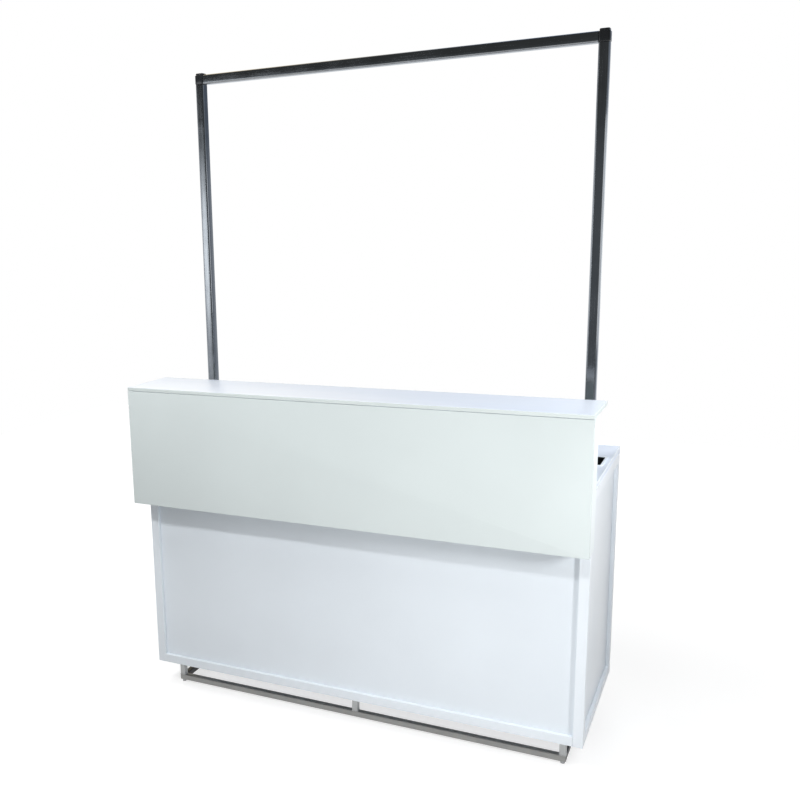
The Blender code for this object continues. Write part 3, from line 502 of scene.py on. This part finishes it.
def studio_world():
    """Even light for surfaces, white for the camera, and the mirrored room for mirrors."""
    world = bpy.data.worlds.new("studio_world")
    world.use_nodes = True
    bpy.context.scene.world = world
    world.node_tree.nodes.clear()
    ray = add_node(world, "LightPath").outputs
    where = add_node(world, "TexCoord").outputs["Generated"]
    mirror = larger(world, ray["Is Glossy Ray"], ray["Is Transmission Ray"])
    shades = (AMBIENT_SHADE, AMBIENT), (mirrored_room(world, where), 1.0), (CAMERA_WHITE, 1.0)
    even, seen, white = (add_node(world, "Background",
                                  {"Color": shade, "Strength": strength}).outputs[0]
                         for shade, strength in shades)
    unseen = add_node(world, "MixShader", {0: mirror, 1: even, 2: seen}).outputs[0]
    whole = add_node(world, "MixShader", {0: ray["Is Camera Ray"], 1: unseen, 2: white})
    add_node(world, "OutputWorld", {"Surface": whole.outputs[0]})
    return world


print("world nodes", len(studio_world().node_tree.nodes))

# %% [markdown]
# The lamps
#
# The photograph has a shadow with two steps under the fascia: one light came from high at the
# left, one from the right. Lamps could be moved about until it looks right, but a line from a
# shadow's corner through the corner that casts it points straight at its light, so two small
# lamps are set on such lines, small because the steps are sharp. A wide lamp overhead and a low
# one in front carry the rest, and three more lighten the right side, the rear and the left. None
# is seen by mirrors, which see the room instead. One more lamp is seen by mirrors alone, and
# gives the right post its highlight.

# %% Lamps


def soft_lamp(name, place, aim, size, watts):
    """A rectangular white lamp at a place, turned to face an aim, which the camera doesn't see."""
    data = bpy.data.lights.new(name, "AREA")
    data.shape = "RECTANGLE"
    data.size, data.size_y = size
    data.energy = watts
    item = bpy.data.objects.new(name, data)
    item.location = place
    item.rotation_euler = (Vector(aim) - Vector(place)).to_track_quat("-Z", "Y").to_euler()
    item.visible_camera = False
    bpy.context.scene.collection.objects.link(item)
    return item


LAMPS = {
    "overhead_lamp": ((-0.9, -0.9, 2.9), (-0.3, -0.2, 0.9), (1.2, 1.0), 28.2),
    "front_lamp": ((0.52, -1.6, 0.72), (0.30, -0.2, 0.5), (0.5, 0.5), 7.1),
    "key_lamp_left": ((-0.90, -2.22, 2.69), (0.0, -0.22, 0.55), (0.2, 0.2), 32.8),
    "key_lamp_right": ((1.79, -1.02, 1.22), (0.3, -0.22, 0.55), (0.25, 0.25), 14.2),
    "fill_lamp": ((1.35, 0.0, 1.7), (0.74, 0.0, 0.7), (0.6, 0.6), 7.5),
    "rear_lamp": ((-0.5, 2.8, 0.9), (0.0, 0.3, 0.6), (1.6, 1.0), 32.0),
    "left_lamp": ((-2.6, 0.9, 1.1), (-0.6, 0.1, 0.5), (1.0, 1.0), 17.0),
}
GLINT_LAMP = ((1.42, 0.0, 1.58), (0.69, 0.0, 1.58), (1.6, 0.85), 5.2)
for name, (place, aim, size, watts) in LAMPS.items():
    soft_lamp(name, place, aim, size, watts).visible_glossy = False
soft_lamp("glint_lamp", *GLINT_LAMP).visible_diffuse = False
print("lamps", len(LAMPS), "and 1 that only mirrors see")

# %% [markdown]
# Pieces from rings
#
# Tubes, knobs, boards and blocks could each be a primitive with modifiers. They can also be made
# in one way: a closed outline is placed many times along a path, and neighbouring outlines are
# joined by quads. That way is used here, because the round of an edge is then exact. The
# positions come from one formula as a whole array, and one helper turns it into a mesh.

# %% Helpers for pieces
pieces = []


def outward(corners, faces):
    """True if a closed surface's faces point outwards: its signed volume is positive."""
    volume = 0.0
    for count in (3, 4):
        chosen = np.array([face for face in faces if len(face) == count])
        for turn in range(1, count - 1):
            if len(chosen):
                a, b, c = (corners[chosen[:, k]] for k in (0, turn, turn + 1))
                volume += np.einsum("ij,ij->i", a, np.cross(b, c)).sum()
    return volume > 0.0


def ring_faces(rings, points, closed):
    """Quads between neighbouring rings. A closed row of rings ends where it starts, and an open one
    gets one flat face on each end."""
    ring = np.arange(rings if closed else rings - 1)[:, None]
    point = np.arange(points)[None, :]
    after = (ring + 1) % rings
    beside = (point + 1) % points
    quads = np.stack([ring * points + point, ring * points + beside,
                      after * points + beside, after * points + point], axis=-1)
    faces = quads.reshape(-1, 4).tolist()
    if not closed:
        faces.append(np.arange(points)[::-1].tolist())
        faces.append((np.arange(points) + (rings - 1) * points).tolist())
    return faces


SHARP_FROM = radians(40)
OPEN, CLOSED = False, True


def ring_piece(name, shells, finish, body, stands_for=()):
    """Makes one object from shells, each an array of ring by point by xyz, marked open or closed."""
    corners = []
    faces = []
    start = 0
    for rings, closed in shells:
        flat = rings.reshape(-1, 3)
        new = ring_faces(*rings.shape[:2], closed)
        if not outward(flat - flat.mean(axis=0), new):
            new = [face[::-1] for face in new]
        faces += [[index + start for index in face] for face in new]
        corners.append(flat)
        start += len(flat)
    mesh = bpy.data.meshes.new(name)
    mesh.from_pydata(np.concatenate(corners).tolist(), [], faces)
    mesh.materials.append(finish)
    mesh.validate()
    mesh.set_sharp_from_angle(angle=SHARP_FROM)
    item = bpy.data.objects.new(name, mesh)
    bpy.context.scene.collection.objects.link(item)
    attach(item, body)
    if stands_for:
        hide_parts(*stands_for)
    pieces.append(name)


def rounded_outline(half_x, half_y, radius, steps=6):
    """A rectangle with round corners: a quarter circle at each corner, joined by straight sides.
    Sizes may be arrays, which gives one outline for each size."""
    half_x, half_y, radius = np.broadcast_arrays(np.atleast_1d(half_x), half_y, radius)
    half_x, half_y, radius = (value[:, None, None] for value in (half_x, half_y, radius))
    turn = np.arange(4)[:, None] * pi / 2 + np.linspace(0, pi / 2, steps + 1)[None, :]
    x = np.array([1, -1, -1, 1])[None, :, None] * (half_x - radius) + radius * np.cos(turn)
    y = np.array([1, 1, -1, -1])[None, :, None] * (half_y - radius) + radius * np.sin(turn)
    return np.stack([x.reshape(len(x), -1), y.reshape(len(y), -1)], axis=2)


def along(axis, outline, centre, places):
    """Lays outlines square to an axis (0, 1 or 2): ring k goes to places[k] on that axis."""
    outline = np.broadcast_to(outline, (len(places), *np.shape(outline)[-2:]))
    rings = np.zeros((len(places), outline.shape[1], 3))
    across = [k for k in range(3) if k != axis]
    rings[:, :, axis] = np.asarray(places)[:, None]
    for count, other in enumerate(across):
        rings[:, :, other] = outline[:, :, count] + centre[count]
    return rings


TUBE_EDGE = 0.0004
LEAST_RADIUS = 0.0005
LEAST_SHARE = 0.15
RIM_STEPS = 5


def tube_rings(axis, centre, low, high, half, radius, wall, steps):
    """A square tube: its rings go up the outside, over the rim and down the inside to the first."""
    shrink = np.array([TUBE_EDGE, 0.0, 0.0, TUBE_EDGE, wall, wall])
    corner = np.maximum(radius - shrink, LEAST_RADIUS)
    outlines = rounded_outline(half - shrink, half - shrink, corner, steps)
    return along(axis, outlines, centre, [low, low + TUBE_EDGE, high - TUBE_EDGE, high, high, low])


def rounded_ends(low, high, rim):
    """How far an outline shrinks towards both ends, and where: along quarter circles of a radius."""
    turn = np.linspace(0, pi / 2, RIM_STEPS + 1)
    shrink = np.concatenate([rim * (1 - np.sin(turn)), rim * (1 - np.sin(turn[::-1]))])
    places = np.concatenate([low + rim * (1 - np.cos(turn)), high - rim * (1 - np.cos(turn[::-1]))])
    return shrink, places


def block_rings(axis, centre, low, high, half_x, half_y, radius, rim, steps=6):
    """A solid block whose outline shrinks by a quarter circle of the rim's radius at both ends."""
    shrink, places = rounded_ends(low, high, rim)
    outlines = rounded_outline(half_x - shrink, half_y - shrink,
                               np.maximum(radius - shrink, radius * LEAST_SHARE), steps)
    return along(axis, outlines, centre, places)


def board_rings(axis, corners, low, high, rim):
    """A board of any straight-sided outline: towards its two faces each side of the outline moves
    inwards along a quarter circle."""
    corners = np.asarray(corners, float)
    after = np.roll(corners, -1, axis=0)
    ahead = (after - corners) / np.linalg.norm(after - corners, axis=1)[:, None]
    area = (corners[:, 0] * after[:, 1] - after[:, 0] * corners[:, 1]).sum()
    inward = np.sign(area) * np.stack([-ahead[:, 1], ahead[:, 0]], axis=1)
    shrink, places = rounded_ends(low, high, rim)
    outlines = corners[None] + shrink[:, None, None] * (inward + np.roll(inward, 1, axis=0))[None]
    return along(axis, outlines, (0.0, 0.0), places)


def around(steps):
    """Angles at even steps round a full turn."""
    return np.linspace(0, 2 * pi, steps, endpoint=False)


def round_outlines(radius, angle):
    """Outlines from the radius at each angle."""
    return np.stack([radius * np.cos(angle), radius * np.sin(angle)], axis=-1)


def turned_rings(axis, centre, profile, steps, lobes=0, lobe_depth=0.0):
    """A turned shape: the profile's (radius, place) pairs go round the axis, and the radius may
    swell and shrink with the cosine of the angle times the number of lobes."""
    profile = np.asarray(profile, float)
    angle = around(steps)
    radius = profile[:, :1] * (1.0 + lobe_depth * np.cos(lobes * angle))
    return along(axis, round_outlines(radius, angle), centre, profile[:, 1])


NUT_EASE = 0.16
NUT_TIP = 0.97
NUT_SLOPE = 1.7


def nut_rings(axis, centre, low, high, across, steps=48):
    """A six-sided nut: at each height the radius is the smaller of the hexagon's and a cone's."""
    angle = around(steps)
    folded = (angle + pi / 6) % (pi / 3) - pi / 6
    hexagon = across / 2 / np.cos(folded)
    ease = (high - low) * NUT_EASE
    places = np.array([low, low + ease / 2, low + ease, high - ease, high - ease / 2, high])
    distance = np.minimum(places - low, high - places)
    cone = across / 2 * NUT_TIP + distance * NUT_SLOPE
    radius = np.minimum(hexagon, cone[:, None])
    return along(axis, round_outlines(radius, angle), centre, places)


STUD_RADIUS = 0.0039
STUD_PITCH = 0.00125


def thread_rings(axis, centre, low, high, steps=24):
    """A stud's thread: the radius falls and rises once each pitch, and climbs with the angle."""
    places = np.arange(low, high, STUD_PITCH / 6)
    angle = around(steps)
    phase = (places[:, None] / STUD_PITCH - angle / (2 * pi)) % 1.0
    radius = STUD_RADIUS - STUD_PITCH * 0.5 * np.abs(2 * phase - 1)
    return along(axis, round_outlines(radius, angle), centre, places)


def middle(name, axis):
    """A solid's centre across an axis, and its ends along it."""
    low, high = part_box(name)
    centre = [(low[k] + high[k]) / 2 for k in range(3) if k != axis]
    return centre, low[axis], high[axis]


print("piece helpers ready")

# %% [markdown]
# The header frame
#
# Two posts, a bar and two moulded corners, which stand 6 mm above the bar. The tube is 32 mm
# square, and its 6 mm corners mirror the bright room as thin lines in the photograph. The solids
# could be kept, but their few facets would break those lines, so the tubes are made again here
# with smooth corners.

# %% Header tubes
HEADER_HALF = 0.016
HEADER_RADIUS = 0.0062
HEADER_WALL = 0.0015
HEADER_STEPS = 12
HEADER_TUBES = {"header_tube_left": ("header_post_left", 2),
                "header_tube_right": ("header_post_right", 2),
                "header_tube_top": ("header_top_bar", 0)}
for tube, (node, axis) in HEADER_TUBES.items():
    centre, low, high = middle(node, axis)
    rings = tube_rings(axis, centre, low, high, HEADER_HALF, HEADER_RADIUS, HEADER_WALL, HEADER_STEPS)
    ring_piece(tube, [(rings, CLOSED)], header_finish[axis], "header", [node])
print("header bar", round(high - low, 4), "m long")

# %% Header corners
CORNER_HALF = 0.0170
CORNER_RIM = 0.0035
CORNER_SEAT = 0.0002
CAP_HEIGHT = 0.006
CAP_HALF = 0.0148
CAP_RIM = 0.0022
CAP_OVERLAP = 0.0004
STUB_HALF = 0.0138
STUB_LENGTH = 0.030
STUB_OVERLAP = 0.002
STUB_RADIUS = 0.003
STUB_RIM = 0.001
for side, turn in (("left", -1), ("right", 1)):
    corner = f"header_corner_{side}"
    low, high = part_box(corner)
    (across, deep), _, _ = middle(f"header_post_{side}", 2)
    foot = high.z - CAP_HEIGHT - 2 * HEADER_HALF
    seam = high.z - CAP_HEIGHT
    block = block_rings(2, (across, deep), foot + CORNER_SEAT, seam, CORNER_HALF, CORNER_HALF,
                        HEADER_RADIUS, CORNER_RIM, HEADER_STEPS)
    cap = block_rings(2, (across, deep), seam - CAP_OVERLAP, high.z, CAP_HALF, CAP_HALF,
                      HEADER_RADIUS, CAP_RIM, HEADER_STEPS)
    post_stub = block_rings(2, (across, deep), low.z, foot + STUB_OVERLAP, STUB_HALF, STUB_HALF,
                            STUB_RADIUS, STUB_RIM)
    ends = sorted(across - turn * (CORNER_HALF + reach) for reach in (-STUB_OVERLAP, STUB_LENGTH))
    bar_stub = block_rings(0, (deep, foot + HEADER_HALF), *ends, STUB_HALF, STUB_HALF, STUB_RADIUS,
                           STUB_RIM)
    shells = [(rings, OPEN) for rings in (block, cap, post_stub, bar_stub)]
    ring_piece(f"header_cap_{side}", shells, corner_plastic, "header", [corner])
print("header corners", round(1000 * (high.z - foot)), "mm tall without their stubs")

# %% [markdown]
# The boards
#
# Fascia, shelf, end returns and gables are 12 mm boards with banded edges. Their arrises are
# eased by about a millimetre. That is what draws the bright lines along the shelf and the thin
# dark seam under it, where two eased edges meet. A material can only feign a round edge, so each
# board is made again as a block whose edges are quarter circles instead of flats.

# %% Boards
ARRIS = 0.0011
BOARD_CORNER = 1.2 * ARRIS
SEAM = 0.0008
BOARD_STEPS = 4
BOARDS = {"fascia_panel": fascia_laminate, "bar_shelf": top_laminate,
          "fascia_return_left": return_laminate, "fascia_return_right": return_laminate}
for board, finish in BOARDS.items():
    low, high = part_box(board)
    if board == "fascia_panel":
        high.z -= SEAM
    size = high - low
    axis = min(range(3), key=lambda k: size[k])
    across = [k for k in range(3) if k != axis]
    centre = [(low[k] + high[k]) / 2 for k in across]
    half = [size[k] / 2 for k in across]
    rings = block_rings(axis, centre, low[axis], high[axis], *half, BOARD_CORNER, ARRIS, BOARD_STEPS)
    ring_piece(f"{board}_faced", [(rings, OPEN)], finish, "cabinet", [board])

# %% Gables, L-shaped: they stand on the worktop and reach down in front of the cabinet
GABLE_GAP = 0.0003
for place in ("left", "centre", "right"):
    low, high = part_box(f"bar_gable_{place}")
    crook = top_low.y - GABLE_GAP
    foot = top_high.z + GABLE_GAP
    outline = [(low.y, low.z), (crook, low.z), (crook, foot), (high.y, foot), (high.y, high.z),
               (low.y, high.z)]
    rings = board_rings(0, outline, low.x, high.x, ARRIS)
    ring_piece(f"bar_gable_{place}_faced", [(rings, OPEN)], fascia_laminate, "cabinet",
               [f"bar_gable_{place}"])
print("boards", len(BOARDS), "and gables 3")

# %% [markdown]
# Worktop edging
#
# In the photograph the worktop's top is bluish, and white lines run along its right and rear
# edges. They are the lips of a moulded edging strip. A box on each edge would have no lips and
# open corners, so the strip's section is drawn once, as pairs of distance outwards and height,
# and carried round the worktop's two ends and rear edge.

# %% Worktop edging
EDGING_LIP = 0.0045
EDGING_PROUD = 0.0009
EDGING_TURN = 0.004
NEAR_TURN = 0.001
OFF_TURN = 0.02
REAR_START = 0.06


def edging_path():
    """The edging's path in plan, and the direction outwards at each of its points: up the left
    side, round a quarter circle, along the rear, round another, and down the right side. Points
    close to the turns keep the shading of the straights even."""
    turn = np.linspace(0, pi / 2, 7)
    turn_out = np.stack([np.sin(turn), np.cos(turn)], axis=1)
    centre = np.array([top_high.x - EDGING_TURN, top_high.y - EDGING_TURN])
    rear_x = np.append(np.linspace(REAR_START, centre[0] - OFF_TURN, 7), centre[0] - NEAR_TURN)
    side_y = np.append(centre[1] - NEAR_TURN, np.linspace(centre[1] - OFF_TURN, top_low.y, 6))
    rear = np.stack([rear_x, np.full_like(rear_x, top_high.y)], axis=1)
    side = np.stack([np.full_like(side_y, top_high.x), side_y], axis=1)
    right_side = np.concatenate([rear, centre + EDGING_TURN * turn_out, side])
    right_out = np.concatenate([np.tile((0.0, 1.0), (len(rear), 1)), turn_out,
                                np.tile((1.0, 0.0), (len(side), 1))])
    mirror = np.array([-1.0, 1.0])
    return (np.concatenate([right_side[::-1] * mirror, right_side]),
            np.concatenate([right_out[::-1] * mirror, right_out]))


path, outwards = edging_path()
lip_top = top_high.z + 0.0006
section = np.array([
    (-EDGING_LIP, top_high.z - 0.0004), (-EDGING_LIP, top_high.z + 0.0002),
    (-EDGING_LIP + 0.0006, lip_top), (-0.0004, lip_top), (0.0004, lip_top - 0.0003),
    (EDGING_PROUD, top_high.z - 0.0006), (EDGING_PROUD, top_high.z - 0.0026),
    (EDGING_PROUD / 2, top_high.z - 0.0036), (EDGING_PROUD / 2, top_low.z + 0.0036),
    (EDGING_PROUD, top_low.z + 0.0026), (EDGING_PROUD, top_low.z + 0.0006),
    (EDGING_PROUD / 2, top_low.z), (-0.0006, top_low.z), (-0.0006, top_high.z - 0.0004)])
rings = np.zeros((len(path), len(section), 3))
rings[:, :, :2] = path[:, None, :] + section[None, :, :1] * outwards[:, None, :]
rings[:, :, 2] = section[None, :, 1]
ring_piece("worktop_edging", [(rings, OPEN)], edging_white_and_painted_groove, "cabinet")
print("edging rings", len(path), "of", len(section), "points")

# %% [markdown]
# Slot trims
#
# Each header post comes up through a long slot in the worktop. A moulded trim covers the
# slot's cut edge. A black liner inside is painted shade: a dark wall where the inside of the
# slot lies in shade, so that the slot looks black. Both could be cut from blocks, but as
# outlines that are carried up and down they need no cutting: the trim's section is a low
# rounded lip, the liner's a thin wall. A section is a list of distance outwards from the hole,
# and height.

# %% Slot trims and liners
TRIM_LIP = 0.0080
TRIM_WALL = 0.0015
TRIM_SEAT = 0.0003
SHADE_LINER_WALL = 0.0008
SHADE_LINER_DEPTH = 0.040
SLOT_RADIUS = 0.0012


def slot_rings(centre, hole, section, widen):
    """A section carried round a slot: each of its points is the slot's outline, grown by the
    distance outwards, at its height. The corners may widen by the same distance."""
    grow, heights = np.array(section).T
    outlines = rounded_outline(hole[0] + grow, hole[1] + grow, SLOT_RADIUS + widen * grow, 5)
    return along(2, outlines, centre, heights)


for side in SIDES:
    collar = f"slot_collar_{side}"
    centre, _, _ = middle(collar, 2)
    low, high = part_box(collar)
    hole = np.array([high.x - low.x, high.y - low.y]) / 2 - TRIM_LIP
    seat = top_high.z + TRIM_SEAT
    section = [(0.0, low.z), (TRIM_WALL, low.z), (TRIM_WALL, seat), (TRIM_LIP - 0.0004, seat),
               (TRIM_LIP, seat + 0.0005), (TRIM_LIP - 0.0003, seat + 0.0013),
               (TRIM_LIP - 0.0014, high.z), (0.0016, high.z), (0.0006, high.z - 0.0003),
               (0.0, high.z - 0.0012)]
    trim = slot_rings(centre, hole, section, 1.0)
    ring_piece(f"slot_trim_{side}", [(trim, CLOSED)], edging_white_and_painted_groove, "cabinet",
               [collar])
    # The black liner is painted shade: a dark wall that stands in for the shade inside the slot.
    section = [(-SHADE_LINER_WALL, high.z - 0.0030), (0.0, high.z - 0.0026), (0.0, high.z - SHADE_LINER_DEPTH),
               (-SHADE_LINER_WALL, high.z - SHADE_LINER_DEPTH)]
    shade_liner = slot_rings(centre, hole, section, 0.0)
    ring_piece(f"slot_shade_liner_{side}", [(shade_liner, CLOSED)], black_plastic, "cabinet")
print("slot trims 2 and liners 2")

# %% [markdown]
# The base tube
#
# A ring of 20 mm square tube stands on four small feet, and six short posts with flange plates
# carry the cabinet. The joints are welded, so each post gets a bead at its foot and at its plate.
# A plain ring would look like a gasket: a bead is a small round section carried along the tube's
# outline, whose radius pulses along the way as a hand-laid weld's does.

# %% Base rails
BASE_HALF = 0.010
BASE_RADIUS = 0.0024
BASE_WALL = 0.0015
BASE_STEPS = 8
for side, axis in (("front", 0), ("rear", 0), ("left", 1), ("right", 1)):
    rail = f"base_rail_{side}"
    centre, low, high = middle(rail, axis)
    rings = tube_rings(axis, centre, low, high, BASE_HALF, BASE_RADIUS, BASE_WALL, BASE_STEPS)
    ring_piece(f"base_tube_{side}", [(rings, CLOSED)], base_steel_and_painted_shade[axis], "cabinet",
               [rail])

# %% Base posts
BEAD_SIZE = 0.0013
BEAD_SWELL = 0.16
BEAD_PULSES = 44
BEAD_STEPS = 10


def weld_bead(centre, height):
    """A bead along the tube's outline: at each of its points a small circle stands square to it,
    and the circle's radius pulses with the distance gone."""
    outline = rounded_outline(BASE_HALF, BASE_HALF, BASE_RADIUS, 12)[0]
    ahead = np.roll(outline, -1, axis=0) - np.roll(outline, 1, axis=0)
    ahead /= np.linalg.norm(ahead, axis=1)[:, None]
    side = np.stack([ahead[:, 1], -ahead[:, 0]], axis=1)
    size = BEAD_SIZE * (1.0 + BEAD_SWELL * np.sin(BEAD_PULSES * around(len(outline))))
    turn = around(BEAD_STEPS)
    sideways = (size[:, None] * np.cos(turn))[:, :, None] * side[:, None, :]
    flat = outline[:, None, :] + sideways + np.asarray(centre)
    tall = height + size[:, None] * np.sin(turn)
    return np.concatenate([flat, tall[:, :, None]], axis=2)


PLATE_HALF = 0.030
PLATE_THICK = 0.004
PLATE_RADIUS = 0.005
PLATE_RIM = 0.0006
BEAD_AT_FOOT = 0.0004
BEAD_AT_PLATE = 0.0002
BOLT_SPACING = 0.021
BOLT_STEPS = 20
BOLT_SECTION = np.array([(0.0022, -0.0022), (0.0036, -0.0016), (0.0042, -0.0004), (0.0042, 0.0)])
POSTS = [f"base_post_{row}_{place}" for row in ("front", "rear")
         for place in ("left", "middle", "right")]
for post in POSTS:
    centre, low, high = middle(post, 2)
    plate_low = high - PLATE_THICK
    shaft = tube_rings(2, centre, low, plate_low, BASE_HALF, BASE_RADIUS, BASE_WALL, BASE_STEPS)
    plate = block_rings(2, centre, plate_low, high, PLATE_HALF, PLATE_HALF, PLATE_RADIUS, PLATE_RIM)
    shells = [(shaft, CLOSED), (plate, OPEN)]
    shells += [(weld_bead(centre, level), CLOSED)
               for level in (low + BEAD_AT_FOOT, plate_low - BEAD_AT_PLATE)]
    for x in (-BOLT_SPACING, BOLT_SPACING):
        for y in (-BOLT_SPACING, BOLT_SPACING):
            head = turned_rings(2, (centre[0] + x, centre[1] + y), BOLT_SECTION + (0.0, plate_low),
                                BOLT_STEPS)
            shells.append((head, OPEN))
    ring_piece(f"{post}_welded", shells, base_steel_and_painted_shade[2], "cabinet", [post])
print("base tubes 4 and posts", len(POSTS))

# %% [markdown]
# Feet and clamp knobs
#
# Both are a moulded head on a steel stud. A screwed spiral could be cut into the stud, but the
# thread is one formula too: the radius goes down and up once for each pitch while the pattern
# climbs with the angle. The head is a turned profile with a few lobes for the fingers, given as
# pairs of radius and distance from its outer face.

# %% Feet
PAD_SECTION = [(0.0052, 0.0), (0.0064, 0.0005), (0.0069, 0.0016), (0.0069, 0.0036),
               (0.0062, 0.0052), (0.0045, 0.0060)]
PAD_LOBES = {"steps": 48, "lobes": 12, "lobe_depth": 0.012}
STUD_FROM = 0.0058
NUT_LOW = 0.0062
NUT_HIGH = 0.0086
NUT_ACROSS = 0.0125
for row in ("front", "rear"):
    for side in SIDES:
        foot = f"foot_{row}_{side}"
        centre, _, high = middle(foot, 2)
        pad = turned_rings(2, centre, PAD_SECTION, **PAD_LOBES)
        stud = thread_rings(2, centre, STUD_FROM, high)
        nut = nut_rings(2, centre, NUT_LOW, NUT_HIGH, NUT_ACROSS)
        ring_piece(f"{foot}_pad", [(pad, OPEN)], foot_plastic, foot, [foot])
        ring_piece(f"{foot}_stud", [(stud, OPEN), (nut, OPEN)], zinc, foot)

# %% Clamp knobs
GRIP_SECTION = np.array([(0.0100, 0.0), (0.0128, 0.0006), (0.0146, 0.0022), (0.0152, 0.0048),
                         (0.0152, 0.0096), (0.0140, 0.0122), (0.0100, 0.0132), (0.0080, 0.0140)])
GRIP_LOBES = {"steps": 60, "lobes": 6, "lobe_depth": 0.10}
SHANK_FROM = 0.0135
for side in SIDES:
    knob = f"clamp_knob_{side}"
    low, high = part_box(knob)
    centre = (middle(f"header_post_{side}", 2)[0][0], (low.z + high.z) / 2)
    grip = turned_rings(1, centre, GRIP_SECTION + (0.0, low.y), **GRIP_LOBES)
    stud = thread_rings(1, centre, low.y + SHANK_FROM, high.y)
    ring_piece(f"{knob}_grip", [(grip, OPEN)], black_plastic, knob, [knob])
    ring_piece(f"{knob}_stud", [(stud, OPEN)], zinc, knob)
print("feet 4 and knobs 2")

# %% [markdown]
# Door pulls and lock
#
# Each sliding door has a flush cup pull, and the outer door a lock. They could be cut from
# cylinders, but cup, ring and cylinder are turned parts, so one half section goes round an axis.
# The key slot is made by letting the inner outlines change from a circle to a long rounded slot
# before they go down into the metal. A section is a list of radius and place along the axis.

# %% Door pulls
TURNED_STEPS = 72


def round_part(name):
    """A turned solid's centre across the axis that goes back, its radius and its two ends."""
    centre, back, face = middle(name, 1)
    low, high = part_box(name)
    return centre, (high.x - low.x) / 2, back, face


for side in SIDES:
    pull = f"door_pull_{side}"
    centre, rim, back, face = round_part(pull)
    section = [(rim - 0.0032, back), (rim - 0.0032, face - 0.0010), (rim, face - 0.0010),
               (rim - 0.0001, face - 0.0005), (rim - 0.0008, face), (rim - 0.0034, face),
               (rim - 0.0046, face - 0.0008), (rim - 0.0050, face - 0.0020),
               (rim - 0.0050, back + 0.0030), (rim - 0.0056, back + 0.0016),
               (rim - 0.0072, back + 0.0010), (0.0040, back + 0.0010)]
    cup = turned_rings(1, centre, section, TURNED_STEPS)
    ring_piece(f"{pull}_cup", [(cup, OPEN)], chrome, f"rear_door_{side}", [pull])

# %% Lock ring and cylinder
centre, radius, back, face = round_part("door_lock_ring")
section = [(0.0065, back), (0.0089, back), (0.0089, face - 0.0040), (radius, face - 0.0040),
           (radius, face - 0.0012), (radius - 0.0004, face - 0.0004), (radius - 0.0014, face),
           (0.0072, face), (0.0067, face - 0.0003), (0.0065, face - 0.0008)]
rings = turned_rings(1, centre, section, TURNED_STEPS)
ring_piece("door_lock_escutcheon", [(rings, CLOSED)], chrome, "rear_door_left",
           ["door_lock_ring"])

KEYWAY_HALF = 0.0006
KEYWAY_REACH = 0.0034
KEYWAY_DEPTH = 0.0045
KEYWAY_ENDS = 0.25
centre, radius, back, face = round_part("door_lock_cylinder")
circle = round_outlines(1.0, around(64))
apart = np.sign(circle[:, 1]) * np.abs(circle[:, 1]) ** KEYWAY_ENDS
keyway = circle * KEYWAY_HALF + np.outer(apart, (0.0, KEYWAY_REACH - KEYWAY_HALF))
outlines = [circle * radius, circle * radius, circle * (radius - 0.0006), circle * (radius * 0.7),
            keyway * 1.12, keyway, keyway * 0.96]
places = [back, face - 0.0005, face, face, face, face - 0.0003, face - KEYWAY_DEPTH]
cylinder = along(1, np.array(outlines), centre, places)
ring_piece("door_lock_plug", [(cylinder, OPEN)], chrome, "door_lock_cylinder",
           ["door_lock_cylinder"])
print("pulls 2 and lock 1")

# %% [markdown]
# Size of the visual model, and finish
# The pieces made here
# The pieces made here keep to the solids' box, apart from the edging, which stands a millimetre
# proud at the rear.

# %% Count of the pieces made here
print("pieces made here", len(pieces))
